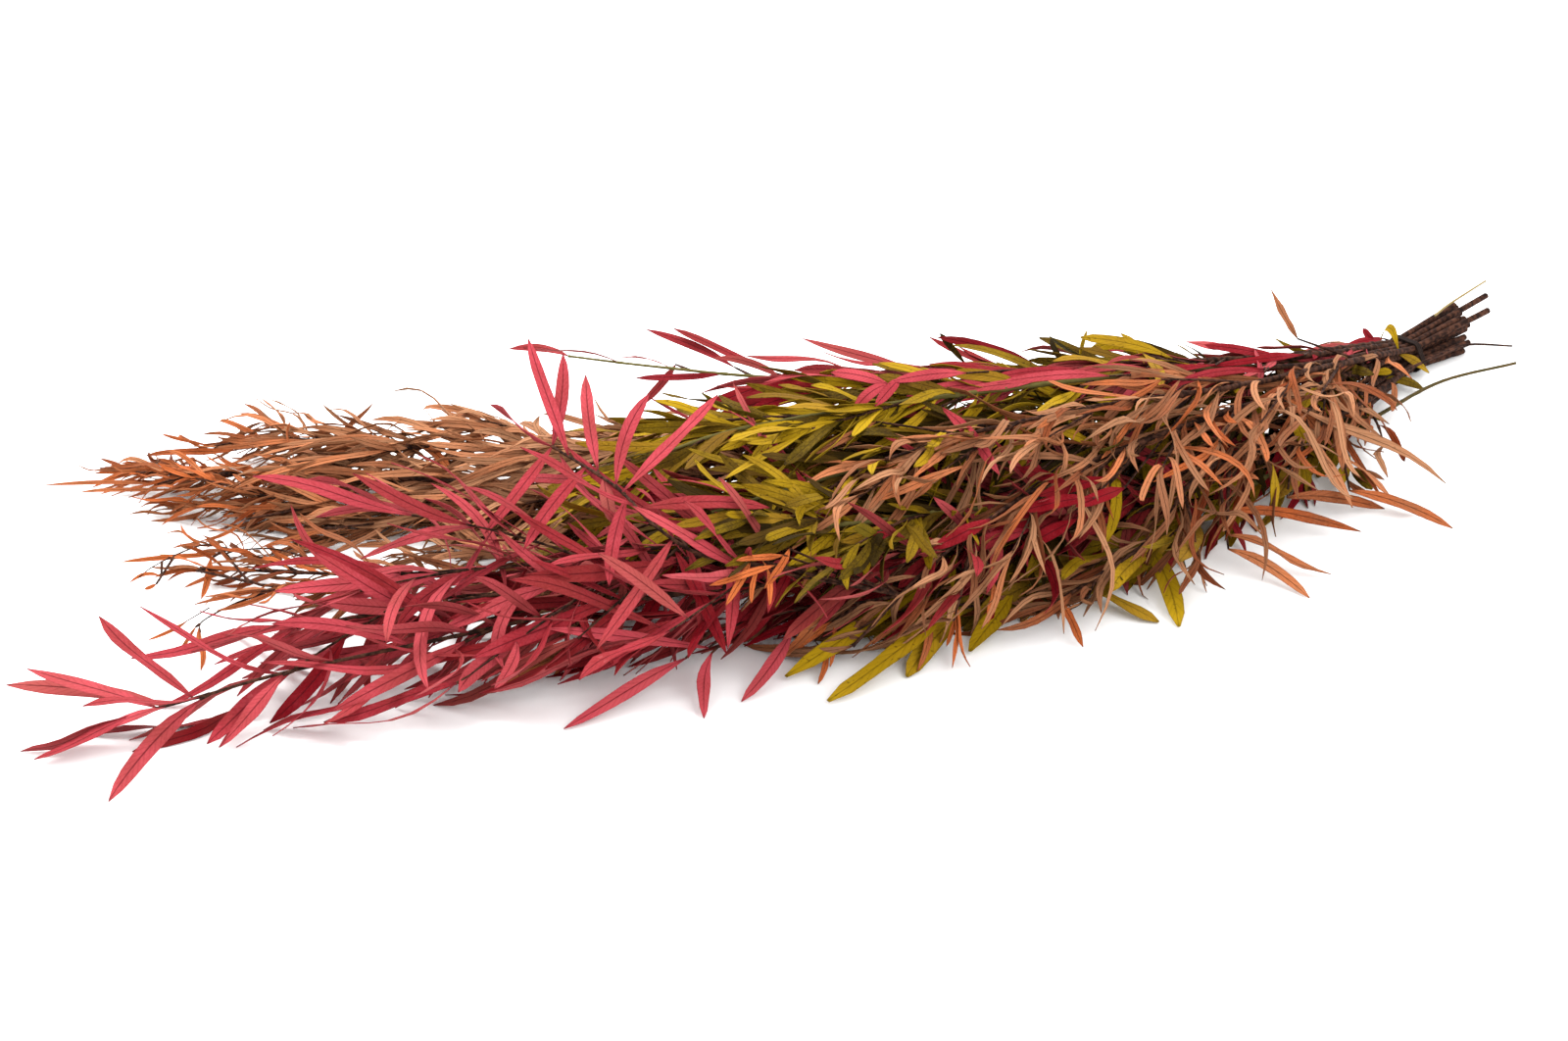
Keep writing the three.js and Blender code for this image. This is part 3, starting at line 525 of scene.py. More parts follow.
LOOSE_LEAVES = {
    "copper_branch_1": (
        ((-183, 74, 30), (-140, 72, 32), 3.2, 0.2, 0.8, 0.12),
        ((-195, 97, 26), (-209, 119, 34), 2, 0.6, 0.9, 0.1, 60, -0.1),
        ((-206, 105, 24), (-187, 115, 32), 2.4, 0.3, 0.4, 0.1, 60, -0.1),
        ((-219, 101, 20), (-187, 85, 24), 4, 0.3, 0.4),
        ((-202, 98, 20), (-208, 88, 16), 2.6, 0.3, 0.2, 0.2),
        ((-228, 98, 18), (-224, 119, 28), 3, 0.1, 0.1, 0.3, 50),
        ((-178, 79, 28), (-167, 59, 20), 3.6, 0.1, 0.3, 0.3),
        ((-248, 128, 14), (-285, 146, 10), 3.2, 0.5),
        ((-257, 136, 14), (-276, 153, 16), 1.6, 0.1, 0, 0.9, 50, 0.5),
        ((-258, 134, 12), (-268, 155, 12), 1.6, 0.1, 0, 0.9, 50, 0.9),
    ),
    "copper_branch_2": (
        ((-286, 116, 10), (-332, 142, 6), 1.9, 0.3, 0.3, 0.02, 40),
        ((-281, 110, 9), (-318, 131, 5), 1.8, 0.2, 0.4, 0.05, 40),
    ),
    "copper_branch_3": (
        ((-258, 65, 12), (-278, 66, 5), 1.6, 0.1, 0.1, 0.9, 40),
        ((-230, 40, 14), (-255, 49, 6), 2.2, 0.1, 0.3, 0.3, 40),
    ),
    "copper_branch_4": (
        ((-271, 45, 8), (-314, 58, 6), 2.2, 0, 0, 0.3, 40, 0.2),
        ((-278, 45, 7), (-288, 19, 3), 3.2, 0),
        ((-281, 49, 12), (-286, 63, 16), 1.4, 0, 0, 0.6, 50, 0.2),
        ((-300, 41, 5), (-313, 44, 3), 1.6, 0.1, 0, -0.9, 40, 0.3),
        ((-303, 37, 4), (-308, 38, 2), 1.6, 0.1, 0, 0.9, 40, 0.3),
        ((-293, -4, 3), (-300, -35, 1), 3, 0),
        ((-298, 3, 4), (-315, -3, 1), 1.5, -0.2, 0, 0.4, 40),
        ((-295, -3, 3), (-306, -17, 1), 1.5, 0, 0, 0.2, 40),
        ((-166, -84, 5), (-205, -92, 1), 3.8, 0.3, 0.3, 0.2),
        ((-158, -80, 7), (-189, -92, 1), 3.8, 0.2, 0.5, -0.2),
        ((-148, -74, 8), (-170, -91, 1), 3.6, 0.4, 0.3, 0.2),
        ((-140, -66, 10), (-158, -90, 2), 3.6, 0.2, 0.5, -0.2),
    ),
    "copper_branch_5": (
        ((-58, -111, 12), (-84, -115, 2), 3.6, 0.1, -0.4, 0.1, 30),
        ((-58, -113, 12), (-66, -128, 2), 3.2, 0, -0.4, 0.2, 30),
        ((-63, -119, 6), (-75, -137, 1), 2.8, 0.3, -0.4, 0.15, 30),
        ((-15, -115, 14), (-35, -144, 2), 3.8, 0.4, 0.2, 0.15, 30),
        ((-11, -124, 16), (-21, -147, 2), 2.4, -0.2, -0.4, 0.25, 30),
        ((-9, -124, 16), (-14, -149, 2), 2.4, -0.2, -0.4, -0.25, 30),
        ((-10, -124, 16), (-19, -137, 6), 2.4, 0, -0.4, 0.3, 30),
        ((9, -121, 22), (1, -133, 10), 3.6, 0.2, 0, 0.1, 30),
        ((-92, -121, 52), (-98, -143, 44), 2.4, -0.2, -0.4, 0.2),
        ((-97, -120, 52), (-113, -135, 44), 3, 0, -0.4),
        ((-89, -126, 52), (-117, -128, 50), 2.8, -0.2, -0.4, 0.15),
        ((-84, -123, 54), (-103, -120, 54), 2.8, 0.1, -0.4),
        ((-96, -126, 52), (-102, -134, 42), 2.2, -0.1, -0.4, -0.3),
        ((-80, -119, 54), (-97, -135, 48), 3, 0.2, -0.2, 0.2),
        ((-62, -101, 50), (-78, -127, 40), 3, 0.2, 0.3, 0.2),
        ((182, -54, 44), (204, -63, 20), 5, 0.3, 0.3, -0.2, 30, 0.2),
        ((243, -30, 10), (236, -41, 4), 2.6, 0.6, 0.3, 0.2, 30),
    ),
    "copper_branch_6": (
        ((33, -133, 14), (35, -152, 2), 3.6, 0.3, 0, 0.15, 30),
        ((214, -61, 6), (227, -72, 3), 2.5, 0.6, 0.5, 0.2, 30),
        ((208, -71, 6), (214, -90, 4), 3, 0.5, 0.3, -0.6),
    ),
    "copper_branch_7": (
        ((-13, -50, 66), (-50, -62, 62), 3.2, 0.1, 0.5, 0.2),
        ((23, -74, 66), (-20, -77, 60), 3.4, 0.2, 0.7, 0.15),
        ((10, -90, 60), (-35, -98, 56), 3.6, 0.1, 0.4),
        ((230, -16, 24), (266, -19, 10), 4.4, 0.5, 0.6, 0.2, 20, 0.3),
        ((224, -21, 38), (214, -51, 20), 5.2, 0.3, 0.25, -0.1, 30),
        ((253, -14, 16), (239, -37, 3), 2.6, 0.4, 0.3),
        ((242, -22, 20), (226, -29, 18), 4, 0.2, 0.3),
    ),
    "olive_branch_1": (
        ((292, 20, 14), (291, 35, 16), 4.2, 0.1, 0.1, 0.2, 35, 2.6),
        ((292, 20, 14), (308, 17, 3), 5, 0.2, 0.3, 0.1, 20, 0.3),
        ((142, -14, 50), (117, 10, 50), 5, 0, 0, 0.1, 50, 0.8),
        ((131, -9, 58), (124, -44, 46), 5, 0, 0.2, 0.15, 30),
        ((97, -6, 54), (96, 5, 62), 3.4, 1.1, 0, 0.1, 50),
        ((104, -7, 54), (113, 3, 64), 2.6, -0.2, 0, 0.1, 50),
        ((59, 14, 52), (51, 25, 64), 3, 1, 0, 0.1, 50),
    ),
    "olive_branch_2": (
        ((190, -56, 36), (203, -48, 42), 4.6, 0.3, 0.1),
        ((183, -63, 36), (183, -73, 30), 6, 0.1),
    ),
    "olive_branch_3": (
        ((277, 10, 9), (297, 4, 2), 5, 0.7, 0, 0.15, 10, 0.2),
        ((270, 9, 12), (281, 9, 12), 4, 0.1, 0, 0.1, 10),
        ((180, -73, 26), (173, -84, 14), 4.6, 0.6, 0.6, 0.1, 30),
        ((182, -74, 22), (182, -80, 12), 4.4, 0.3, 0, 0.1, 30),
    ),
    "olive_branch_4": (
        ((219, -55, 8), (202, -72, 4), 5.6, 0.1),
        ((214, -63, 8), (217, -78, 3), 4.8, 0.8, 0, -0.1),
        ((160, -84, 30), (153, -99, 12), 6, 0, 0.3, 0.15, 30),
        ((220, -37, 14), (238, -30, 14), 4.6, 1.2, 0, 0.1, 10),
        ((224, -37, 12), (244, -30, 12), 5, 1.2, 0, 0.1, 10),
        ((227, -37, 10), (244, -33, 8), 5, 1.1, 0, 0.1, 10),
    ),
    "red_branch_1": (
        ((211, -22, 46), (157, -32, 54), 3.4, 1.0, 0, 0.14),
        ((202, -21, 46), (168, -3, 50), 4, 0.8),
        ((281, 32, 16), (236, 17, 26), 4.6, 0.9, 0, 0.1, 10),
        ((266, 21, 18), (222, 4, 30), 4.6, 0.9, 0, -0.1, 10),
        ((189, -16, 50), (174, -45, 48), 4.6, 0.1, 0, 0.2, 30),
        ((14, 5, 58), (-30, 10, 56), 6, 0.9),
        ((-2, 12, 56), (-51, 2, 54), 6, 1.0),
        ((-14, 17, 54), (-68, 6, 50), 6, 1.1),
        ((1, -3, 58), (-45, -15, 56), 6, 1.0),
        ((287, 35, 14), (282, 38, 22), 4, 0.8, 0, 0.2, 30),
        ((295, 39, 14), (267, 28, 20), 4, 0.9, 0, 0.1, 10),
        ((4, 24, 52), (-35, 39, 48), 6, 1),
        ((-8, 30, 50), (-52, 31, 42), 6, 1),
        ((-19, 37, 48), (-66, 36, 38), 6, 1.1, 0, -0.1),
        ((92, -2, 45), (56, 42, 20), 6, 0.9),
        ((112, -4, 45), (78, 46, 22), 6, 1.1, 0, -0.1),
    ),
    "red_branch_2": (
        ((155, -39, 58), (107, -37, 60), 3.6, 0.8),
        ((121, -38, 62), (76, -38, 64), 3.6, 0.3, 0.2, -0.14, 20, 0.2),
        ((91, -31, 64), (44, -31, 66), 4, 0.6, 0, 0.16, 20, 0.2),
        ((69, -37, 65), (30, -36, 66), 4, 0.1, 0.1, 0.16),
        ((47, -35, 66), (7, -36, 68), 5, 0.2, 0, -0.1),
        ((182, -36, 50), (128, -45, 56), 3.6, 1.0, 0, 0.16, 20, 0.2),
        ((114, -46, 60), (92, -62, 56), 5.6, 0, 0, 0.2, 30),
        ((257, 13, 20), (204, -10, 34), 4.6, 1.0, 0, 0.1, 10),
        ((270, 19, 16), (245, 20, 26), 4.5, 0.2, 0, -0.15, 20, 0.2),
        ((279, 30, 17), (249, 19, 24), 4.5, 0.9, 0, 0.1, 10),
        ((-2, -38, 76), (-20, -18, 76), 4.8, 0, 0, 0.2, 30, 0.3),
        ((-2, -38, 76), (-20, -42, 68), 5, 0.2, 0, -0.2, 20, 0.4),
        ((5, -34, 76), (-11, -44, 70), 4.6, 0.3, 0, 0.2, 20, 0.3),
        ((63, -28, 58), (23, -43, 56), 5, 0.1, 0, 0.1, 30),
        ((18, -47, 66), (19, -103, 60), 5, 0.4, 0, 0.1, 30),
        ((33, -40, 76), (0, -36, 76), 4.6, 0.1, 0, 0.1, 30, 0.2),
        ((92, -58, 72), (42, -52, 75), 4, 0.1, 0, 0.1, 30, 0.2),
        ((176, -46, 54), (120, -60, 62), 3.6, 0.6, 0, -0.14, 30, 0.2),
        ((67, -106, 51), (33, -110, 51), 5.4, 1.2),
        ((55, -117, 49), (23, -116, 49), 5.6, 1.0, 0, -0.1),
        ((48, -108, 53), (35, -87, 53), 5, 1.2, 0, 0.2),
        ((72, -112, 48), (46, -119, 48), 5.4, 1.0),
        ((39, -115, 46), (10, -114, 40), 5.6, 1.1),
        ((25, -120, 42), (-2, -117, 36), 6.2, 0.7, 0, -0.1),
        ((9, -116, 48), (-17, -117, 40), 6, 0.9),
        ((47, -119, 42), (21, -120, 34), 5.6, 1.1),
        ((-12, -115, 38), (-31, -115, 24), 6, 0.8),
    ),
}


@dataclass(frozen=True)
class Curl:
    """How far a dye lot's blades twist, sway and fold, and how their margins wave."""

    twist: float
    sway: float
    fold: float
    wave: float
    turns: float


CURLS = {
    "red": Curl(0.7, 0.035, 0.16, 0.22, 1.6),
    "olive": Curl(0.9, 0.04, 0.22, 0.24, 1.6),
    "copper": Curl(1.7, 0.1, 0.45, 0.34, 2.0),
}
FOLD_DICE = (-0.3, 1.0)
WAVE_DICE = (0.3, 1.0)
TURNS_DICE = (0.7, 1.3)

# A blade's half width at shares of its length, from its stalk to its tip.
OUTLINES = {
    "red": (
        (0, 0.1), (0.06, 0.2), (0.17, 0.66), (0.3, 0.9), (0.5, 1), (0.72, 0.94), (0.88, 0.62), (1, 0.06),
    ),
    "olive": (
        (0, 0.1), (0.06, 0.18), (0.2, 0.62), (0.4, 0.92), (0.64, 1), (0.84, 0.84), (0.95, 0.5), (1, 0.16),
    ),
    "copper": (
        (0, 0.14), (0.06, 0.24), (0.16, 0.68), (0.32, 0.95), (0.6, 1), (0.8, 0.8), (0.92, 0.45), (1, 0.08),
    ),
}
BLADE_SIDES = 6
BLADE_PIECES = 8
BLADE_REACH = math.cos(math.pi / BLADE_SIDES)  # how far out its sides reach, turned corner up
SHARP_FROM = 0.9  # radians between two faces


# ---------------------------------------------------------------- growth


def vector(numbers):
    return np.array(numbers, float)


def unit(step):
    return step / np.linalg.norm(step)


def make_dice(seed):
    """A repeatable die: the same seed always gives the same rolls as in the part's source."""
    state = (seed * DICE_START) % WORD

    def roll(low, high):
        nonlocal state
        state = (state * DICE_FACTOR + DICE_STEP) % WORD
        return low + (high - low) * state / WORD

    return roll


def crossways(growth):
    """The two directions across a direction of growth: a level one and the most upright one."""
    side = unit(np.cross(UP, growth))
    return side, np.cross(growth, side)


def along(line, share):
    """The point and the direction of growth at a share of a line's pieces."""
    steps = len(line) - 1
    place = steps * min(max(share, 0.0), 1.0)
    index = min(int(place), steps - 1)
    growth = line[index + 1] - line[index]
    return line[index] + growth * (place - index), unit(growth)


def places_on(line):
    """How far along a line each of its points is."""
    return np.concatenate([[0], np.cumsum(np.linalg.norm(np.diff(line, axis=0), axis=1))])


def length_of(line):
    return float(np.linalg.norm(np.diff(line, axis=0), axis=1).sum())


def curve_points(points, shares):
    """Points of the smooth curve through the given ones, at shares of its pieces."""
    ends = np.vstack([2 * points[0] - points[1], points, 2 * points[-1] - points[-2]])
    place = shares * (len(points) - 1)
    index = np.minimum(place.astype(int), len(points) - 2)
    t = (place - index)[:, None]
    before, start, end, after = (ends[index + k] for k in range(4))
    leaving, arriving = (end - before) / 2, (after - start) / 2
    cube = 2 * start - 2 * end + leaving + arriving
    square = -3 * start + 3 * end - 2 * leaving - arriving
    return start + t * (leaving + t * (square + t * cube))


def spaced_points(points, steps):
    """Points evenly spaced along the smooth curve through the given ones."""
    shares = np.arange(ARC_STEPS + 1) / ARC_STEPS
    lengths = places_on(curve_points(points, shares))
    wanted = np.linspace(0, lengths[-1], steps + 1)
    return curve_points(points, np.interp(wanted, lengths, shares))


@dataclass(eq=False)
class Shoot:
    """A stem, twig or stalk. The coarse line decides what grows where, and the drawn line is what shows."""

    line: np.ndarray
    taper: tuple
    drawn: np.ndarray
    roots: list = field(default_factory=list)  # shares at which a leaf or a twig leaves it
    skin: tuple = (0.0, 0.0)  # how green and how pale its bark is

    def girth(self, share):
        return self.taper[0] * (1 - share) + self.taper[1] * share


@dataclass
class Leaf:
    """A leaf's chord, its size and its bends, and whether its place was marked or left to the dice."""

    root: np.ndarray
    tip: np.ndarray
    width: float
    bow: float
    arch: float
    roll: float
    marked: bool = False
    share: float = 0.0  # where a marked leaf leaves its stem
    shade: tuple = None  # a loose leaf's own tone and age


def sidestep(row, place):
    """How far a stem sits to the side of the neck's middle: every other row is half a pitch over."""
    return (MIDDLE_PLACE - place - (row % 2) / 2) * STEM_PITCH


def route_stem(branch):
    """A stem's shoot from the neck to its tip, and its bare butt's cut end beyond the neck."""
    over = sidestep(branch.row, branch.place)
    neck = NECK + NECK_SIDE * over
    neck[2] = LOWEST_ROW + branch.row * ROW_PITCH
    cut = neck + NECK_AXIS * branch.butt + NECK_SIDE * over * BUTT_FAN
    cut[2] = neck[2] + branch.row * BUTT_RISE * branch.butt if branch.row else STEM_RADIUS
    points = np.vstack([neck, vector(branch.route)])
    line, drawn = (spaced_points(points, STEM_STEPS * finer) for finer in (1, STEM_DRAWN))
    return Shoot(line, (STEM_RADIUS, STEM_TIP_RADIUS), drawn), cut


def piece_distances(start, step, starts, steps):
    """The shortest distances from one straight piece to many, at shares s of the one and t of the others."""
    between = start - starts
    a, e, b = step @ step, (steps**2).sum(1), steps @ step
    c, f = between @ step, (between * steps).sum(1)
    span = a * e - b * b
    apart = span > PARALLEL
    s = np.where(apart, np.clip((b * f - c * e) / np.where(apart, span, 1), 0, 1), 0)
    t = np.clip((b * s + f) / e, 0, 1)
    s = np.clip((b * t - c) / a, 0, 1)
    return np.linalg.norm(between + s[:, None] * step - t[:, None] * steps, axis=1)


class Obstacles:
    """Straight pieces, each with a girth, that a new twig has to clear."""

    def __init__(self, shoots):
        self.starts = np.vstack([line[:-1] for line, _ in shoots])
        self.steps = np.vstack([np.diff(line, axis=0) for line, _ in shoots])
        girths = []
        for line, (first, last) in shoots:
            pieces = len(line) - 1
            girths.append(first + (last - first) * np.arange(pieces) / pieces)
        self.girths = np.concatenate(girths)

    def room_for(self, shoot, start=0.0):
        """The room left round a shoot, from the share of it where that counts."""
        pieces = len(shoot.line) - 1
        room = math.inf
        for i in range(math.ceil(start * pieces), pieces):
            step = shoot.line[i + 1] - shoot.line[i]
            gaps = piece_distances(shoot.line[i], step, self.starts, self.steps) - self.girths
            room = min(room, gaps.min() - shoot.taper[0])
        return room


def beyond_edge(points):
    """How far points lie beyond the near edge of the foliage."""
    x, y, z = points.T
    return np.maximum(np.interp(x, *NEAR_EDGE.T) - OVERHANG * z - y, 0)


def twig_points(base, growth, outward, splay, reach, sag, shares):
    """A twig's line, bent down by its own weight and forwards along the stem, and kept off the surface."""
    heading = growth * math.cos(splay) + outward * math.sin(splay)
    line = base + heading * reach * shares[:, None] + growth * FORWARD_BEND * reach * shares[:, None] ** 2
    line[:, 2] = np.maximum(line[:, 2] - SAG_BEND * sag * reach * shares**2, TWIG_FLOOR)
    line[:, 1] += BENT_BACK * shares * beyond_edge(line)
    return line


def grow_twigs(owner, branch, stem, placed):
    """A branch's twigs, each turned round its stem until it clears every shoot placed before it."""
    plan = branch.twigs
    others = [shoot for shoot in placed if shoot[0] is not stem.line]
    own = Obstacles([(stem.line, stem.taper)])
    coarse, fine = (np.linspace(0, 1, steps + 1) for steps in (TWIG_STEPS, TWIG_DRAWN))
    twigs = []
    for k in range(plan.count):
        dice = make_dice(TWIG_SEED * (owner + 1) + k)
        share = k / (plan.count - 1)
        at = plan.start + (plan.end - plan.start) * share + dice(*TWIG_SHIFT)
        base, growth = along(stem.line, at)
        across, above = crossways(growth)
        near = plan.side and dice(0, 1) < NEAR_ODDS
        usual = 1 if k % 2 else -1
        hand = plan.side * np.sign(across[1]) if near else usual
        rise = plan.lift + dice(*TWIG_RISE)
        splay = math.radians(plan.splay * dice(*TWIG_SPLAY))
        reach = (plan.reach[0] * (1 - share) + plan.reach[1] * share) * dice(*TWIG_REACH)
        sag = dice(*TWIG_SAG)
        taper = (min(TWIG_RADIUS, TWIG_SHARE * stem.girth(at)), TWIG_TIP_RADIUS)
        obstacles = Obstacles(others)
        for turn in TWIG_TURNS:
            way = math.radians(rise + turn)
            outward = across * hand * math.cos(way) + above * math.sin(way)
            line, drawn = (
                twig_points(base, growth, outward, splay, reach, sag, shares) for shares in (coarse, fine)
            )
            twig = Shoot(line, taper, drawn)
            if obstacles.room_for(twig) > TWIG_CLEARANCE and own.room_for(twig, OWN_STEM_FROM) > 0:
                twig.drawn += (along(stem.drawn, at)[0] - base) * ((1 - fine) ** 2)[:, None]
                stem.roots.append(at)
                twigs.append(twig)
                others.append((twig.line, twig.taper))
                break
    return twigs


def grow_leaves(shoot, dye, start, end, spacing, dice):
    """Leaves along a shoot, on alternate sides, with one at its very end."""
    span = length_of(shoot.line) * (end - start)
    count = max(1, math.floor(span / spacing + 0.5))
    facing = dice(0, 360)
    leaves = []
    for j in range(count + 1):
        share = start + (end - start) * j / count
        root, growth = along(shoot.line, share)
        across, above = crossways(growth)
        way = math.radians(facing + 180 * j + dice(*LEAF_WAY))
        last = end == 1 and j == count
        angle = math.radians(dye.spread * dice(*LEAF_SPREAD) * (LAST_SPREAD if last else 1))
        outward = unit(across * math.cos(way) + above * LEAF_FLATNESS * math.sin(way))
        heading = growth * math.cos(angle) + outward * math.sin(angle)
        length = dye.length * dice(*LEAF_LENGTH)
        tip = root + heading * length
        tip[2] = max(min(tip[2] - dye.droop * dice(*LEAF_DROOP) * length, root[2] + dye.rise), 0)
        tip[1] += BENT_BACK * beyond_edge(tip)
        width = dye.width * dice(*LEAF_WIDTH)
        bow, arch, roll = dye.bow * dice(*LEAF_BOW), dye.arch * dice(*LEAF_ARCH), dice(*LEAF_ROLL)
        shoot.roots.append(share)
        leaves.append(Leaf(along(shoot.drawn, share)[0], tip, width, bow, arch, roll))
    return leaves


def grow_marked(mark, dye, stem):
    """A marked leaf, and the bare stalk that carries it where its root stands off the stem."""
    root, tip, bow = vector(mark[0]), vector(mark[1]), mark[2]
    shares = [k / STEM_MARKS for k in range(STEM_MARKS + 1)]
    gaps = [np.linalg.norm(along(stem.line, share)[0] - root) for share in shares]
    nearest, gap = shares[int(np.argmin(gaps))], min(gaps)
    leaf = Leaf(root, tip, MARKED_WIDTH * dye.width, bow, MARKED_ARCH, MARKED_ROLL * bow, True, nearest)
    if gap < STALK_FROM:
        leaf.root = along(stem.line, nearest)[0]
        return None, leaf
    share = max(nearest - STALK_SLANT * gap / length_of(stem.line), FIRST_STALK)
    start = along(stem.line, share)[0]
    line = np.array([start, (start + root) / 2, root])
    fine = np.linspace(0, 1, TWIG_DRAWN + 1)[:, None]
    drawn = start + (root - start) * fine
    drawn += (along(stem.drawn, share)[0] - start) * (1 - fine) ** 2
    return Shoot(line, (TWIG_RADIUS, TWIG_TIP_RADIUS), drawn), leaf


def leaf_line(leaf):
    """A leaf's middle line, which bows and arches most halfway, and its girth as an obstacle to twigs."""
    chord = leaf.tip - leaf.root
    length = np.linalg.norm(chord)
    middle = leaf.root + chord / 2 + crossways(chord / length)[0] * leaf.bow * length / 4
    middle = middle + UP * leaf.arch * length / 4
    return np.array([leaf.root, middle, leaf.tip]), (MARKED_GIRTH, MARKED_GIRTH)


@dataclass
class Grown:
    """A branch once it has grown: its stem, its cut end, its other shoots and its leaves."""

    branch: Branch
    owner: int
    stem: Shoot
    cut: np.ndarray
    twigs: list
    leaves: list


@functools.lru_cache(maxsize=None)
def grow_bunch():
    """All branches. Stems come first, then marked leaves, then twigs, as in the part's source."""
    stems = [route_stem(branch) for branch in BRANCHES]
    marks = [
        [grow_marked(mark, branch.foliage, stem) for mark in branch.marked]
        for branch, (stem, _) in zip(BRANCHES, stems)
    ]
    placed = [(stem.line, stem.taper) for stem, _ in stems]
    for (stem, _), marked in zip(stems, marks):
        for stalk, leaf in marked:
            if stalk:
                placed.append((stalk.line, stalk.taper))
            placed.append(leaf_line(leaf))
            if not stalk:
                leaf.root = along(stem.drawn, leaf.share)[0]
    bunch = []
    for owner, (branch, (stem, cut)) in enumerate(zip(BRANCHES, stems)):
        twigs = grow_twigs(owner, branch, stem, placed)
        placed.extend((twig.line, twig.taper) for twig in twigs)
        stalks = [stalk for stalk, _ in marks[owner] if stalk]
        leaves = [leaf for _, leaf in marks[owner]] + grow_foliage(owner, branch, stem, twigs)
        bunch.append(Grown(branch, owner, stem, cut, twigs + stalks, leaves))
    return bunch


def grow_foliage(owner, branch, stem, twigs):
    """The leaves that the part's source grows on a branch."""
    dye, plan = branch.foliage, branch.twigs
    dice = make_dice(LEAF_SEED + owner)
    first, leafy_from = LOW_LEAVES * plan.start, (plan.start + plan.end) / 2
    leaves = grow_leaves(stem, dye, leafy_from, 1, dye.spacing, dice)
    leaves += grow_leaves(stem, dye, first, leafy_from, LOW_SPACING * dye.spacing, dice)
    for twig in twigs:
        leaves += grow_leaves(twig, dye, TWIG_LEAVES, 1, dye.spacing, dice)
    return leaves


def by_place(points, values):
    """What copper leaves have at their place between the far tips and the neck."""
    return np.interp(points[..., 0], COPPER_PLACES, values)


def stays_inside(leaf):
    """Whether a leaf points away from the neck and keeps within the near side's limit."""
    middle = leaf_line(leaf)[0][1]
    return leaf.tip[0] < leaf.root[0] + POINTS_BACK and min(leaf.tip[1], middle[1]) > NEAR_LIMIT


def fill_foliage(grown, density):
    """The further leaves that fill a branch out between those of its solid."""
    branch, look = grown.branch, LOOKS[grown.branch.name]
    usual, beside = branch.foliage, ("length", "width", "spread", "bow", "rise")
    dye = replace(usual, **{name: getattr(usual, name) * getattr(look, name) for name in beside})
    dice = make_dice(FILL_SEED + grown.owner)
    spacing = dye.spacing / (density * look.fill)
    start = LOW_LEAVES * branch.twigs.start if look.fill_from is None else look.fill_from
    leafy = [twig for twig in grown.twigs if twig.roots]
    leaves = grow_leaves(grown.stem, dye, start, look.fill_to, spacing, dice)
    for twig in leafy:
        leaves += grow_leaves(twig, dye, FILL_FROM, 1, spacing, dice)
    if branch.dye == "copper":
        leaves = [leaf for leaf in leaves if dice(0, 1) < by_place(leaf.root, COPPER_KEPT)]
        for leaf in leaves:
            leaf.tip = leaf.root + (leaf.tip - leaf.root) * by_place(leaf.root, COPPER_LENGTH)
    return [leaf for leaf in leaves if stays_inside(leaf)]


def loose_shoot(points, first, last, green=0.0, pale=0.0):
    line = vector(points)
    return Shoot(line, (first, last), spaced_points(line, TWIG_DRAWN), skin=(green, pale))


def loose_leaf(root, tip, width, tone, age=0.0, bow=0.1, roll=20, arch=0.1):
    roll = math.copysign(roll + LOOSE_ROLL, tip[0] - root[0])
    return Leaf(vector(root), vector(tip), width, bow, arch, roll, True, shade=(tone, age))


def loose_growth(grown):
    """The loose shoots and leaves of a branch. A leaf that starts clear of every shoot gets a fine stalk."""
    name = grown.branch.name
    shoots = [loose_shoot(*row) for row in LOOSE_SHOOTS.get(name, ())]
    leaves = [loose_leaf(*row) for row in LOOSE_LEAVES.get(name, ())]
    lines = [shoot.drawn for shoot in (grown.stem, *grown.twigs, *shoots)]
    stalked = set()
    for leaf in leaves:
        gaps_to = [np.linalg.norm(line - leaf.root, axis=1) for line in lines]
        line, gaps = min(zip(lines, gaps_to), key=lambda found: found[1].min())
        nearest = int(np.argmin(gaps))
        if gaps[nearest] <= STALK_JOINS:
            leaf.root = line[nearest]
        elif tuple(leaf.root) not in stalked:  # two leaves may share a stalk
            step = length_of(line) / (len(line) - 1)
            start = line[max(nearest - round(STALK_SLANT * gaps[nearest] / step), 0)]
            stalk = np.linspace(start, leaf.root, TWIG_DRAWN + 1)
            shoots.append(Shoot(stalk, LOOSE_STALK, stalk))
            stalked.add(tuple(leaf.root))
    return shoots, leaves


# ---------------------------------------------------------------- node trees


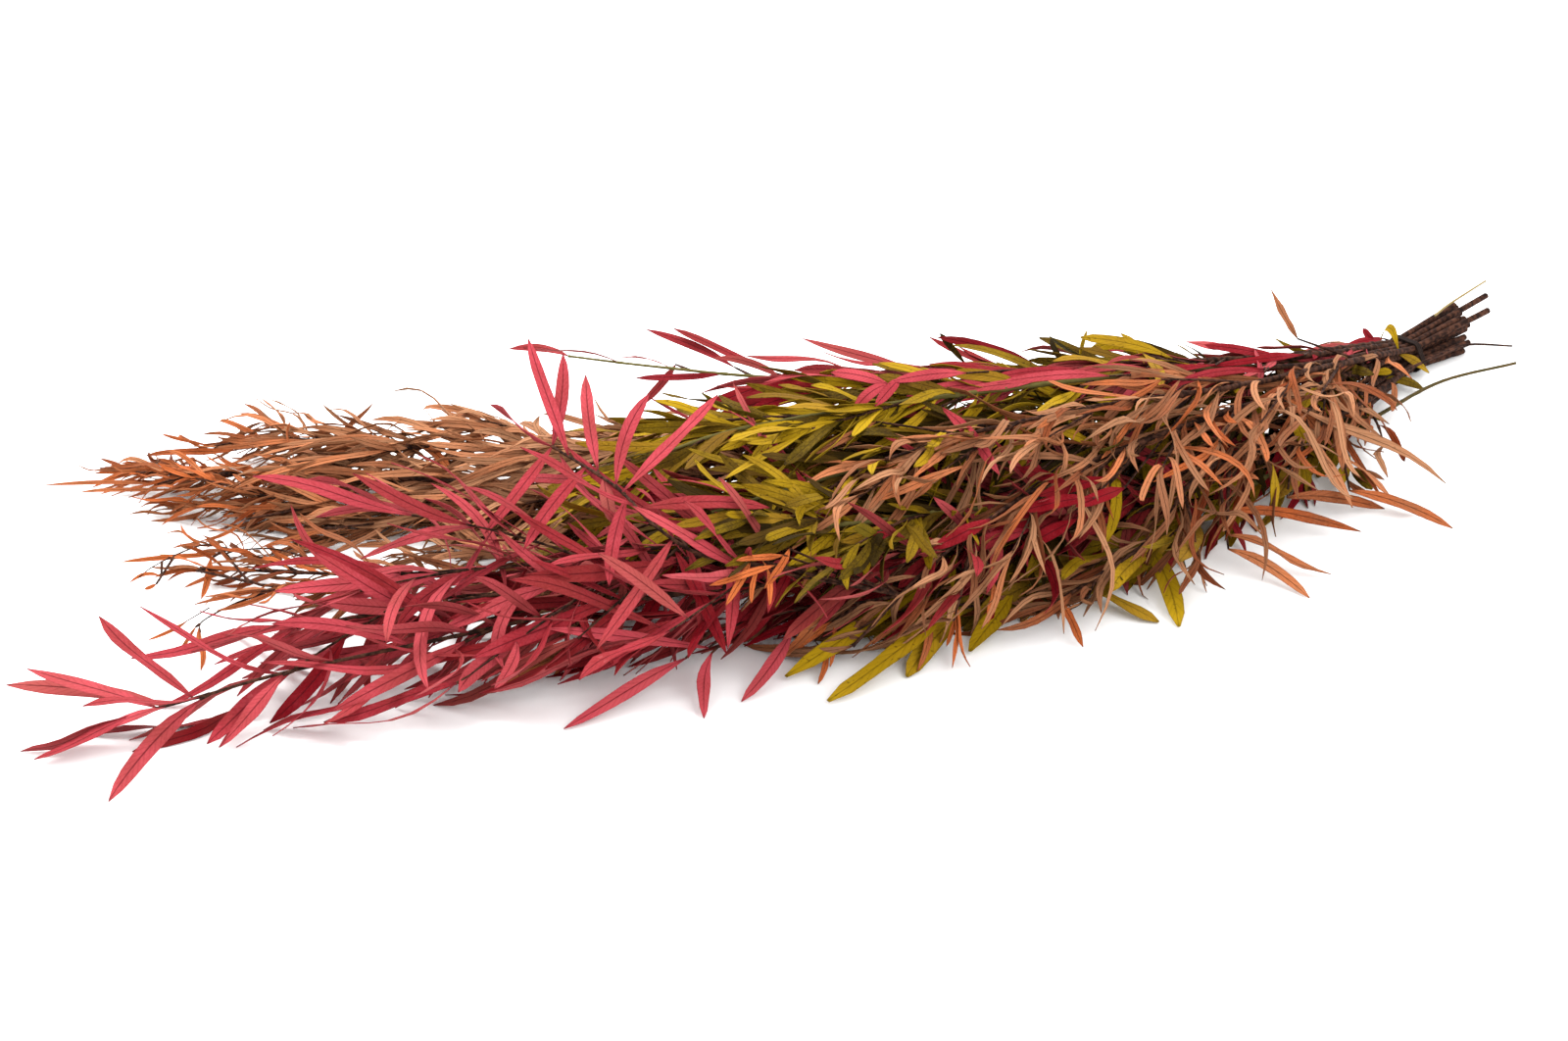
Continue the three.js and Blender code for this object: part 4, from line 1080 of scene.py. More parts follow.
class Wiring:
    """Adds nodes to a tree and links them, for geometry and for materials alike."""

    def __init__(self, tree):
        self.tree = tree

    def add(self, kind, inputs=None, output=0, **settings):
        node = self.tree.nodes.new(kind)
        for key, value in settings.items():
            setattr(node, key, value)
        for key, value in (inputs or {}).items():
            if isinstance(value, bpy.types.NodeSocket):
                self.tree.links.new(value, node.inputs[key])
            else:
                node.inputs[key].default_value = value
        return node.outputs[output]

    def math(self, operation, *values, clamp=False):
        inputs = dict(enumerate(values))
        return self.add("ShaderNodeMath", inputs, operation=operation, use_clamp=clamp)

    def plus(self, *values):
        return functools.reduce(functools.partial(self.math, "ADD"), values)

    def times(self, *values):
        return functools.reduce(functools.partial(self.math, "MULTIPLY"), values)

    def minus(self, value, less):
        return self.math("SUBTRACT", value, less)

    def vector(self, operation, *values):
        return self.add("ShaderNodeVectorMath", dict(enumerate(values)), operation=operation)

    def scaled(self, vector, size):
        return self.add("ShaderNodeVectorMath", {0: vector, 3: size}, operation="SCALE")

    def moved(self, point, *moves):
        """A point after moves, each a direction and how far it goes."""
        for direction, distance in moves:
            point = self.vector("ADD", point, self.scaled(direction, distance))
        return point

    def centred(self, noise, *factors):
        """A noise that varies about nothing instead of a half, times its factors."""
        return self.times(self.minus(noise, 0.5), *factors)

    def parts(self, vector):
        split = self.tree.nodes.new("ShaderNodeSeparateXYZ")
        self.tree.links.new(vector, split.inputs[0])
        return tuple(split.outputs)

    def joined(self, *parts):
        return self.add("ShaderNodeCombineXYZ", dict(enumerate(parts)))

    def raised(self, point, floor):
        """A point lifted to the floor's height where it lies lower."""
        x, y, z = self.parts(point)
        return self.joined(x, y, self.math("MAXIMUM", z, floor))

    def named(self, name, kind="FLOAT_VECTOR"):
        return self.add("GeometryNodeInputNamedAttribute", {"Name": name}, data_type=kind)

    def attribute(self, name):
        return self.parts(self.add("ShaderNodeAttribute", output="Vector", attribute_name=name))

    def noise(self, scale, detail=2.0):
        where = self.add("ShaderNodeTexCoord", output="Object")
        return self.add("ShaderNodeTexNoise", {"Vector": where, "Scale": scale, "Detail": detail})

    def step(self, value, edges, end=1.0):
        """Nothing at the first edge, rising smoothly to its end at the second."""
        inputs = {0: value, 1: edges[0], 2: edges[1], 3: 0.0, 4: end}
        return self.add("ShaderNodeMapRange", inputs, interpolation_type="SMOOTHSTEP")

    def paint(self, colour, *coats):
        """A colour with others over it, each given as its share and its colour."""
        for share, coat in coats:
            inputs = {0: share, 6: rgba(colour), 7: rgba(coat)}
            colour = self.add("ShaderNodeMix", inputs, 2, data_type="RGBA", clamp_factor=True)
        return colour


def rgba(colour):
    """A colour's four channels, or the socket that gives it."""
    return colour if isinstance(colour, bpy.types.NodeSocket) else (*colour, 1.0)


def new_tree(name, **inputs):
    """A geometry tree's wiring and its input sockets: the geometry, and then the named inputs."""
    tree = bpy.data.node_groups.new(name, "GeometryNodeTree")
    for label, kind in {"Geometry": "Geometry", **inputs}.items():
        tree.interface.new_socket(label, in_out="INPUT", socket_type="NodeSocket" + kind)
    tree.interface.new_socket("Geometry", in_out="OUTPUT", socket_type="NodeSocketGeometry")
    given = tree.nodes.new("NodeGroupInput").outputs
    return Wiring(tree), tuple(given)[: len(inputs) + 1]


def close_tree(wiring, geometry, material):
    """Ends a tree: real geometry only, smooth but for sharp corners, in its material."""
    real = wiring.add("GeometryNodeRealizeInstances", {0: geometry})
    smooth = wiring.add("GeometryNodeSetShadeSmooth", {"Geometry": real})
    corner = wiring.math("GREATER_THAN", wiring.add("GeometryNodeInputMeshEdgeAngle"), SHARP_FROM)
    crisp = wiring.add(
        "GeometryNodeSetShadeSmooth",
        {"Geometry": smooth, "Selection": corner, "Shade Smooth": False},
        domain="EDGE",
    )
    dressed = wiring.add("GeometryNodeSetMaterial", {"Geometry": crisp, "Material": material})
    wiring.tree.links.new(dressed, wiring.tree.nodes.new("NodeGroupOutput").inputs[0])
    return wiring.tree


def foliage_tree(dye):
    """One blade, repeated at every leaf's root and bent to that leaf's own size and curl."""
    w, (seeds, thickness, material) = new_tree(dye + "_foliage", Thickness="Float", Material="Material")
    rod = w.add(
        "GeometryNodeMeshCylinder",
        {"Vertices": BLADE_SIDES, "Side Segments": BLADE_PIECES, "Radius": 1.0, "Depth": 1.0},
        fill_type="NGON",
    )
    x, y, z = w.parts(w.add("GeometryNodeInputPosition"))
    corner_up = w.joined(w.math("DIVIDE", y, BLADE_REACH), w.times(x, -1.0), w.plus(z, 0.5))
    blade = w.add(
        "GeometryNodeStoreNamedAttribute",
        {"Geometry": rod, "Name": "blade", "Value": corner_up},
        data_type="FLOAT_VECTOR",
        domain="POINT",
    )
    spread = w.add("GeometryNodeInstanceOnPoints", {"Points": seeds, "Instance": blade})
    real = w.add("GeometryNodeRealizeInstances", {0: spread})

    v, face, u = w.parts(w.named("blade"))
    size, bow, arch = w.parts(w.named("size"))
    twist, sway, fold = w.parts(w.named("curl"))
    wave, turns, phase = w.parts(w.named("wave"))
    chord, side, across, out = (w.named(name) for name in ("chord", "side", "across", "out"))
    outline = w.add("ShaderNodeFloatCurve", {"Value": u})
    points = outline.node.mapping.curves[0].points
    for point, place in zip(points, (OUTLINES[dye][0], OUTLINES[dye][-1])):
        point.location = place
    for place in OUTLINES[dye][1:-1]:
        points.new(*place)
    outline.node.mapping.update()
    half = w.times(size, outline)

    # The middle line runs from root to tip, bowed sideways, arched upwards and swayed out of its face.
    swing = w.times(u, w.minus(1.0, u))
    swaying = w.times(sway, w.math("SINE", w.times(u, math.tau)))
    bends = ((chord, u), (side, w.times(bow, swing)), (tuple(UP), w.times(arch, swing)), (out, swaying))
    middle = w.moved(w.named("root"), *bends)

    # The blade turns about that line, and nothing of it sinks below the surface that it lies on.
    turn = w.times(twist, w.minus(u, 0.5))
    cosine, sine = w.math("COSINE", turn), w.math("SINE", turn)
    wide = w.moved(w.scaled(across, cosine), (out, sine))
    thick = w.vector("SUBTRACT", w.scaled(out, cosine), w.scaled(across, sine))
    deep = w.math("ABSOLUTE", w.parts(wide)[2])
    middle = w.raised(middle, w.plus(w.times(half, deep), thickness))

    # Its margins fold up and wave.
    ripple = w.math("SINE", w.plus(phase, w.times(turns, math.tau, u)))
    lift = w.plus(w.times(fold, w.math("ABSOLUTE", v)), w.times(wave, v, ripple))
    lift = w.plus(w.times(lift, half), w.times(thickness, face))
    point = w.moved(middle, (wide, w.times(half, v)), (thick, lift))
    facing = w.plus(1.0, w.times(face, w.parts(thick)[2]))
    point = w.raised(point, w.times(thickness, facing))
    return close_tree(w, w.add("GeometryNodeSetPosition", {"Geometry": real, "Position": point}), material)


BARK_LUMPS = 420.0


def shoot_tree():
    """A round shoot of varying girth along every line, with a rough skin."""
    found = bpy.data.node_groups.get("shoots")
    if found:
        return found
    w, (lines, sides, roughness, material) = new_tree(
        "shoots", Sides="Int", Roughness="Float", Material="Material"
    )
    line = w.add("GeometryNodeMeshToCurve", {"Mesh": lines})
    ring = w.add("GeometryNodeCurvePrimitiveCircle", {"Resolution": sides, "Radius": 1.0})
    girth = w.named("girth", "FLOAT")
    tube = w.add(
        "GeometryNodeCurveToMesh",
        {"Curve": line, "Profile Curve": ring, "Scale": girth, "Fill Caps": True},
    )
    where = w.add("GeometryNodeInputPosition")
    lumps = w.add("ShaderNodeTexNoise", {"Vector": where, "Scale": BARK_LUMPS, "Detail": 2.0})
    out = w.centred(lumps, roughness, girth)
    place = w.raised(w.moved(where, (w.add("GeometryNodeInputNormal"), out)), floor=0.0)
    return close_tree(w, w.add("GeometryNodeSetPosition", {"Geometry": tube, "Position": place}), material)


# What a mesh carries for its tree alone. It comes off once the tree has run.
GUIDES = ("root", "chord", "side", "across", "out", "size", "curl", "wave", "girth")


def grow_mesh(name, mesh, tree, **values):
    """Runs a tree over a mesh, and leaves the result as a plain object at the origin."""
    seed = bpy.data.objects.new(name + "_seed", mesh)
    bpy.context.scene.collection.objects.link(seed)
    modifier = seed.modifiers.new("growth", "NODES")
    modifier.node_group = tree
    sockets = {item.name: item.identifier for item in tree.interface.items_tree}
    for label, value in values.items():
        modifier[sockets[label]] = value
    evaluated = seed.evaluated_get(bpy.context.evaluated_depsgraph_get())
    made = bpy.data.meshes.new_from_object(evaluated)
    made.name = name
    seed.modifiers.remove(modifier)
    bpy.data.objects.remove(seed)
    for guide in GUIDES:
        if guide in made.attributes:
            made.attributes.remove(made.attributes[guide])
    piece = bpy.data.objects.new(name, made)
    bpy.context.scene.collection.objects.link(piece)
    return piece


def place_of(points):
    """Points of the table, in millimetres, as metres in the row frame."""
    return (np.asarray(points, float) + TO_MIDDLE) * MM


def new_mesh(name, points, edges=(), **attributes):
    """A mesh of points and edges, whose attributes are given one value or one vector a point."""
    mesh = bpy.data.meshes.new(name)
    mesh.from_pydata(place_of(points).tolist(), edges, [])
    for label, values in attributes.items():
        values = np.asarray(values, np.float32)
        kind, channel = ("FLOAT_VECTOR", "vector") if values.ndim == 2 else ("FLOAT", "value")
        mesh.attributes.new(label, kind, "POINT").data.foreach_set(channel, values.ravel())
    return mesh


# ---------------------------------------------------------------- materials

# Between which values a mark fades in: through a blade's thickness, across it from the midrib, along it from
# the root, and up a vein's crest or a noise.
UNDERSIDE = (0.2, -0.2)
MIDRIB = (0.14, 0.03)
MARGIN = (0.78, 1.0)
ROOT_END = (0.1, 0.0)
TIP_END = (0.95, 1.02)
VEIN_CREST = (0.3, 1.0)
SPECKS = (0.63, 0.7)
STREAKS = (0.35, 0.7)
DUST = (0.45, 0.75)

# How strong the marks are.
UNEVEN_DYE = 0.9
UNEVEN_FADING = 0.8
MOTTLING = 0.5
MOTTLED_SHINE = 0.5
VEIN_SLANT = 1.6
VEINED_TONE = 0.3
MIDRIB_DEPTH = 0.8
VEIN_DEPTH = 0.35
DRY_ENDS = 0.6
BARK_ROUGHNESS, BARK_ROUGHENING = 0.6, 0.25
TIE_ROUGHNESS, TIE_ROUGHENING = 0.55, 0.3
PAPER_GREY = (0.8, 0.8, 0.8)
PAPER_SPOTS = 0.03
BUMP_STRENGTH = 0.6


def new_material(name):
    material = bpy.data.materials.new(name)
    material.use_nodes = True
    material.node_tree.nodes.clear()
    return material, Wiring(material.node_tree)


def finish_material(w, colour, roughness, relief, depth, specular):
    """Joins a colour, a roughness and a relief in one shader."""
    inputs = {
        "Base Color": colour,
        "Roughness": roughness,
        "Normal": w.add("ShaderNodeBump", {"Height": relief, "Strength": BUMP_STRENGTH, "Distance": depth}),
        "Specular IOR Level": specular,
    }
    shader = w.add("ShaderNodeBsdfPrincipled", inputs)
    output = w.tree.nodes.new("ShaderNodeOutputMaterial")
    w.tree.links.new(shader, output.inputs["Surface"])


def foliage_material(name, look):
    """Dyed leaf: uneven dye, a dark midrib, fine side veins, worn margins, specks and a paler underside."""
    material, w = new_material(name)
    v, face, u = w.attribute("blade")
    # A leaf's tone is partly its uneven dye and partly painted shade deep inside the bunch; the deep colour
    # and the vein colour paint both.
    tone, age, seed = w.attribute("look")
    off_middle = w.math("ABSOLUTE", v)
    cloudy, fine = w.noise(scale=70.0), w.noise(scale=900.0, detail=4.0)
    uneven, mottled = w.centred(cloudy, UNEVEN_DYE), w.centred(fine, MOTTLING)
    tone = w.plus(tone, w.plus(uneven, mottled))
    age = w.plus(age, w.times(uneven, UNEVEN_FADING))

    # Fine side veins run forwards from the midrib. The margins and both ends have dried darker.
    run = w.minus(w.times(u, look.veins), w.times(off_middle, VEIN_SLANT))
    ribs = w.step(w.math("SINE", w.times(w.plus(run, seed), math.tau)), VEIN_CREST)
    midrib = w.step(off_middle, MIDRIB)
    margin = w.times(w.step(off_middle, MARGIN), look.margin)
    ends = w.math("MAXIMUM", w.step(u, ROOT_END), w.step(u, TIP_END))
    colour = w.paint(
        look.light,
        (tone, look.deep),
        (age, look.faded),
        (w.math("MULTIPLY", tone, VEINED_TONE, clamp=True), look.vein),
        (w.step(face, UNDERSIDE, look.underside), look.pale),
        (w.times(ribs, look.vein_strength), look.vein),
        (w.times(midrib, look.midrib), look.vein),
        (w.math("MAXIMUM", margin, w.times(ends, DRY_ENDS)), look.vein),
        (w.step(w.noise(scale=520.0, detail=3.0), SPECKS, look.specks), look.vein),
    )
    roughness = w.plus(look.roughness, w.times(mottled, MOTTLED_SHINE))
    relief = w.minus(w.minus(fine, w.times(midrib, MIDRIB_DEPTH)), w.times(ribs, VEIN_DEPTH))
    finish_material(w, colour, roughness, relief, depth=0.00025, specular=0.06)
    return material


def bark_material(look):
    """Thin dark bark with paler streaks, green where a shoot is young, and dry wood where it was cut."""
    found = bpy.data.materials.get("bark")
    if found:
        return found
    material, w = new_material("bark")
    green, pale, cut = w.attribute("skin")
    streaks, fine = w.noise(scale=420.0, detail=3.0), w.noise(scale=1500.0)
    colour = w.paint(
        look.bark,
        (w.step(streaks, STREAKS), look.bark_light),
        (green, look.bark_green),
        (pale, look.bark_straw),
        (cut, w.paint(look.cut_wood, (fine, look.bark_light))),
    )
    roughness = w.plus(BARK_ROUGHNESS, w.times(fine, BARK_ROUGHENING))
    finish_material(w, colour, roughness, w.plus(streaks, fine), depth=0.0003, specular=0.06)
    return material


def tie_material(look):
    """Matt dark rubber, dusty in patches."""
    material, w = new_material("tie_rubber")
    dust, fine = w.noise(scale=180.0, detail=4.0), w.noise(scale=2200.0)
    colour = w.paint(look.tie, (w.step(dust, DUST), look.tie_dust))
    roughness = w.plus(TIE_ROUGHNESS, w.times(dust, TIE_ROUGHENING))
    finish_material(w, colour, roughness, fine, depth=0.0001, specular=0.1)
    return material


def floor_material(look):
    """Matt studio paper with a faint tooth."""
    material, w = new_material("studio_paper")
    tooth = w.noise(scale=900.0)
    colour = w.paint(look.floor, (w.times(tooth, PAPER_SPOTS), PAPER_GREY))
    finish_material(w, colour, roughness=0.8, relief=tooth, depth=0.00005, specular=0.2)
    return material


# ---------------------------------------------------------------- pieces


def leaf_mesh(grown, leaves):
    """A point for each leaf, carrying everything that its tree and its material read."""
    dye = grown.branch.dye
    curl, look = CURLS[dye], LOOKS[grown.branch.name]
    rng = np.random.default_rng(LOOK_SEED + grown.owner)

    def between(low, high):
        return rng.uniform(low, high, len(leaves))

    names = ("root", "tip", "width", "bow", "arch", "roll", "marked")
    roots, tips, widths, bows, arches, rolls, marked = (
        np.array([getattr(leaf, name) for leaf in leaves]) for name in names
    )
    of_solid = np.array([leaf.marked and not leaf.shade for leaf in leaves])
    calm = np.where(marked, CALM, 1.0)
    chords = tips - roots
    lengths = np.linalg.norm(chords, axis=1)
    ahead = chords / lengths[:, None]
    widths = np.where(of_solid, widths * look.marked, widths)
    rolls = np.where(of_solid, rolls + look.turn + FACE_ROLL * ahead[:, 0], rolls)
    sides = np.cross(UP, ahead)
    sides /= np.linalg.norm(sides, axis=1)[:, None]
    above = np.cross(ahead, sides)
    cosine, sine = (swing(np.radians(rolls))[:, None] for swing in (np.cos, np.sin))

    twist = between(-curl.twist, curl.twist) * calm
    sway = between(-curl.sway, curl.sway) * lengths * calm
    fold = between(*FOLD_DICE) * curl.fold
    wave = between(*WAVE_DICE) * curl.wave
    turns = between(*TURNS_DICE) * curl.turns
    phase = between(0, math.tau)
    # Painted shade: the lower a leaf lies beneath the top of the bunch, the deeper its tone. Marked leaves
    # take their lift instead.
    crown = np.interp(roots[:, 0], CROWN_PLACES, CROWN_HEIGHTS[dye])
    depth = np.clip(1 - (roots + tips)[:, 2] / 2 / crown, 0, 1)
    tone = between(*look.tone) + np.where(marked, -look.lifted, PAINTED_DEPTH_SHADE * (depth - USUAL_DEPTH))
    age = between(*look.age) + np.where(between(0, 1) < ODD_LEAVES, ODD_FADING, 0.0)
    if dye == "copper":
        age += by_place(roots, COPPER_FADING)
        widths = widths * np.where(marked, 1.0, by_place(roots, COPPER_WIDTH))
    for k, leaf in enumerate(leaves):
        if leaf.shade:
            tone[k], age[k] = leaf.shade

    return new_mesh(
        grown.branch.name + "_roots",
        roots,
        root=place_of(roots),
        chord=chords * MM,
        side=sides,
        across=sides * cosine + above * sine,
        out=above * cosine - sides * sine,
        size=np.stack([widths / 2 * MM, bows * lengths * MM, arches * lengths * MM], 1),
        curl=np.stack([twist, sway * MM, fold], 1),
        wave=np.stack([wave, turns, phase], 1),
        look=np.stack([tone, age, phase / math.tau], 1),
    )


def swollen(shoot, radii):
    """Radii with a small swelling wherever a leaf or a twig leaves the shoot."""
    places = places_on(shoot.drawn)
    for share in shoot.roots:
        gaps = places - share * places[-1]
        radii = radii * (1 + NODE_SWELLING * np.exp(-((gaps / NODE_REACH) ** 2)))
    return radii


def stem_line(grown):
    """The stem from its cut end to its tip, cut off square."""
    stem, cut = grown.stem, grown.cut
    butt = np.linspace(0, 1, BUTT_PIECES + 1)[1:-1, None]
    way = stem.drawn[0] - cut
    points = np.vstack([cut, cut + unit(way) * CUT_THICKNESS, cut + way * butt, stem.drawn])
    radii = swollen(stem, np.linspace(stem.taper[0], STEM_DRAWN_TIP, len(stem.drawn)))
    radii = np.concatenate([np.full(len(points) - len(radii), stem.taper[0]), radii])
    skin = np.zeros((len(points), 3))
    skin[0, 2] = 1
    green_from = LOOKS[grown.branch.name].green_from
    shares = np.linspace(0, 1, len(stem.drawn))
    skin[-len(shares) :, 0] = np.clip((shares - green_from) * GREENING, 0, GREENEST)
    return points, radii, skin


def wood_mesh(grown, loose):
    """The lines of a branch's stem, twigs and loose shoots, with a girth and a skin at each point."""
    lines = [stem_line(grown)]
    for shoot in (*grown.twigs, *loose):
        tip = TWIG_DRAWN_TIP if shoot.roots else shoot.taper[1]
        radii = swollen(shoot, np.linspace(shoot.taper[0], tip, len(shoot.drawn)))
        lines.append((shoot.drawn, radii, np.tile((*shoot.skin, 0.0), (len(shoot.drawn), 1))))
    points, radii, skins = (np.concatenate(parts) for parts in zip(*lines))
    starts = {*np.cumsum([len(line) for line, _, _ in lines])}
    edges = [(k - 1, k) for k in range(1, len(points)) if k not in starts]
    return new_mesh(grown.branch.name + "_lines", points, edges, girth=radii * MM, skin=skins)


def dress(piece, node):
    """Hangs a piece under the bunch's body, and hides the imported part that it stands for."""
    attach(piece, "root")
    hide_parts(node)


def make_branch(grown, settings, tree, leaf, bark):
    """A branch as two pieces: its leaves and its bark."""
    name = grown.branch.name
    shoots, loose = loose_growth(grown)
    leaves = leaf_mesh(grown, grown.leaves + fill_foliage(grown, settings.density) + loose)
    thickness, relief = settings.blade_thickness / 2, settings.bark_roughness
    blades = grow_mesh(name + "_leaves", leaves, tree, Thickness=thickness, Material=leaf)
    values = {"Sides": WOOD_SIDES, "Roughness": relief, "Material": bark}
    wood = grow_mesh(name + "_wood", wood_mesh(grown, shoots), shoot_tree(), **values)
    dress(blades, name)
    dress(wood, name)


def hull_of(radius):
    """The outline of all the stems in the neck, each a circle of the given radius, seen along the neck."""
    turns = np.arange(STEM_CORNERS) * math.tau / STEM_CORNERS
    ring = np.stack([np.cos(turns), np.sin(turns)], 1) * radius
    centres = [(sidestep(branch.row, branch.place), branch.row * ROW_PITCH) for branch in BRANCHES]
    spots = sorted(tuple(spot) for centre in centres for spot in ring + np.array(centre))

    def chain(points):
        kept = []
        for x, y in points:
            while len(kept) > 1:
                (x0, y0), (x1, y1) = kept[-2:]
                if (x1 - x0) * (y - y1) - (y1 - y0) * (x - x1) > HULL_TURN:
                    break
                kept.pop()
            kept.append((x, y))
        return kept[:-1]

    return np.array(chain(spots) + chain(spots[::-1]))


def tie_mesh():
    """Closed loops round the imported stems, side by side in the band's width."""
    outline = hull_of(STEM_RADIUS + TIE_CLEARANCE + TIE_THICKNESS / 2)
    closed = np.vstack([outline, outline[:1]])
    lengths = places_on(closed)
    wanted = np.linspace(0, lengths[-1], TIE_PIECES + 1)[:-1]
    loop = np.stack([np.interp(wanted, lengths, closed[:, k]) for k in (0, 1)], 1)
    points, edges = [], []
    for strand in range(TIE_STRANDS):
        middle = NECK + NECK_AXIS * (TIE_PLACE + (strand - (TIE_STRANDS - 1) / 2) * STRAND_PITCH)
        start = len(points)
        points += [middle + NECK_SIDE * x + UP * (y + LOWEST_ROW) for x, y in loop]
        edges += [(start + k, start + (k + 1) % TIE_PIECES) for k in range(TIE_PIECES)]
    return new_mesh("tie_loops", points, edges, girth=np.full(len(points), TIE_THICKNESS / 2 * MM))


# ---------------------------------------------------------------- settings


def linear(hexa):
    """A colour as it is seen, turned into the light values that Blender keeps."""
    seen = [((hexa >> shift) & 255) / 255 for shift in (16, 8, 0)]
    return tuple(c / 12.92 if c <= 0.04045 else ((c + 0.055) / 1.055) ** 2.4 for c in seen)


def colour_property(name, description, hexa):
    return bpy.props.FloatVectorProperty(
        name=name, description=description, subtype="COLOR", size=3, min=0, max=1, default=linear(hexa)
    )


def share_property(name, description, value, high=1.0):
    return bpy.props.FloatProperty(
        name=name, description=description, default=value, min=0, max=high, subtype="FACTOR"
    )


def power_property(name, description, value):
    return bpy.props.FloatProperty(name=name, description=description, default=value, min=0, unit="POWER")


FOLIAGE_COLOURS = {
    "light": ("Light", "Where the dye took lightly"),
    # The deep colour paints both deeply dyed leaves and the painted shade deep inside the bunch.
    "deep": ("Deep", "Where the dye took deeply"),
    "faded": ("Faded", "What the dye has faded to"),
    "pale": ("Underside", "The back of the blade"),
    "vein": ("Veins", "Midrib, veins, dried margins and specks"),
}
FOLIAGE_SHARES = {
    "roughness": ("Roughness", "How matt the blade is"),
    "vein_strength": ("Vein strength", "How dark side veins are"),
    "midrib": ("Midrib strength", "How dark the midrib is"),
    "margin": ("Margin strength", "How dark the margins are"),
    "specks": ("Specks", "How dark the specks are"),
    "underside": ("Underside strength", "How pale the back is"),
}


def foliage_settings(label, veins, colours, shares):
    """A property group for one dye lot's leaves."""
    annotations = {
        "veins": bpy.props.FloatProperty(
            name="Side veins", description="Side veins along a blade", default=veins, min=1
        )
    }
    for (key, words), colour in zip(FOLIAGE_COLOURS.items(), colours):
        annotations[key] = colour_property(*words, colour)
    for (key, words), share in zip(FOLIAGE_SHARES.items(), shares):
        annotations[key] = share_property(*words, share)
    return type(label, (bpy.types.PropertyGroup,), {"__annotations__": annotations})


RedFoliage = foliage_settings(
    "RedFoliage", 16.0,
    (0xA83E46, 0x7C0814, 0x944A42, 0xA85E5C, 0x40040C),
    (0.7, 0.14, 0.7, 0.12, 0.12, 0.2),
)
OliveFoliage = foliage_settings(
    "OliveFoliage", 12.0,
    (0x9A7B0E, 0x2A1E02, 0x84601C, 0x828030, 0x181002),
    (0.7, 0.14, 0.45, 0.25, 0.5, 0.2),
)
CopperFoliage = foliage_settings(
    "CopperFoliage", 9.0,
    (0xB05C30, 0x702B0C, 0xA07050, 0x96704C, 0x220C03),
    (0.72, 0.2, 0.7, 0.3, 0.3, 0.25),
)


class BunchSettings(bpy.types.PropertyGroup):
    """What a user would change about the bunch."""

    red: bpy.props.PointerProperty(name="Red", description="Red leaves", type=RedFoliage)
    olive: bpy.props.PointerProperty(name="Olive", description="Olive leaves", type=OliveFoliage)
    copper: bpy.props.PointerProperty(name="Copper", description="Copper leaves", type=CopperFoliage)
    density: bpy.props.FloatProperty(
        name="Density", description="Leaves that fill each branch out", default=2.6, min=0.5, max=6
    )
    blade_thickness: bpy.props.FloatProperty(
        name="Blade thickness",
        description="How thick a leaf is along its middle",
        default=0.00045, min=0.0001, max=0.002, subtype="DISTANCE", unit="LENGTH", precision=5,
    )
    bark_roughness: share_property("Bark relief", "Unevenness of the bark", 0.35, 2.0)
    bark: colour_property("Bark", "Most of the bark", 0x1C0F0B)
    bark_light: colour_property("Bark streaks", "Lighter streaks in the bark", 0x4A2E22)
    bark_green: colour_property("Green shoot", "The bark of a young shoot", 0x625C30)
    bark_straw: colour_property("Straw", "A stalk dried pale", 0xC9AE7E)
    cut_wood: colour_property("Cut wood", "The wood where a stem was cut", 0xA98663)
    tie: colour_property("Tie", "The rubber of the tie", 0x1C120F)
    tie_dust: colour_property("Tie dust", "Dust on the tie", 0x2A1F1A)
    floor: colour_property("Floor", "The studio floor", 0xF8F8F8)
    key_light: power_property("Key light", "The large light overhead", 36)
    fill_light: power_property("Fill light", "The light from the near side", 14)
    surround: bpy.props.FloatProperty(
        name="Surround", description="Light from all round", default=1.6, min=0, max=5
    )


# ---------------------------------------------------------------- operators

FLOOR_REACH = 6.0
KEY_SIZE, KEY_PLACE = 1.1, Vector((-0.35, 0.75, 1.35))
FILL_SIZE, FILL_PLACE = 1.4, Vector((0.5, -1.3, 1.0))
CAMERA_TARGET = Vector((-0.0314, -0.0115, 0.0))
CAMERA_DISTANCE = 1.3
CAMERA_AZIMUTH = math.radians(-22)
CAMERA_ELEVATION = math.radians(28)
CAMERA_LENS = 68.0
CAMERA_CLIP = (0.05, 30)


def grow_dye(context, dye):
    """Grows all branches of one dye."""
    settings = context.scene.eucalyptus_bunch
    shared = (
        foliage_tree(dye),
        foliage_material(dye + "_foliage", getattr(settings, dye)),
        bark_material(settings),
    )
    for grown in grow_bunch():
        if grown.branch.dye == dye:
            make_branch(grown, settings, *shared)
    return {"FINISHED"}


class BUNCH_OT_red_branches(bpy.types.Operator):
    """Grow the red branches"""

    bl_idname = "bunch.red_branches"
    bl_label = "Red Branches"

    def execute(self, context):
        return grow_dye(context, "red")


class BUNCH_OT_olive_branches(bpy.types.Operator):
    """Grow the olive branches"""

    bl_idname = "bunch.olive_branches"
    bl_label = "Olive Branches"

    def execute(self, context):
        return grow_dye(context, "olive")


class BUNCH_OT_copper_branches(bpy.types.Operator):
    """Grow the copper branches"""

    bl_idname = "bunch.copper_branches"
    bl_label = "Copper Branches"

    def execute(self, context):
        return grow_dye(context, "copper")


class BUNCH_OT_tie(bpy.types.Operator):
    """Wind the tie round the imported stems"""

    bl_idname = "bunch.tie"
    bl_label = "Tie"

    def execute(self, context):
        rubber = tie_material(context.scene.eucalyptus_bunch)
        values = {"Sides": STRAND_SIDES, "Roughness": STRAND_RELIEF, "Material": rubber}
        dress(grow_mesh("tie_strands", tie_mesh(), shoot_tree(), **values), "tie_band")
        return {"FINISHED"}


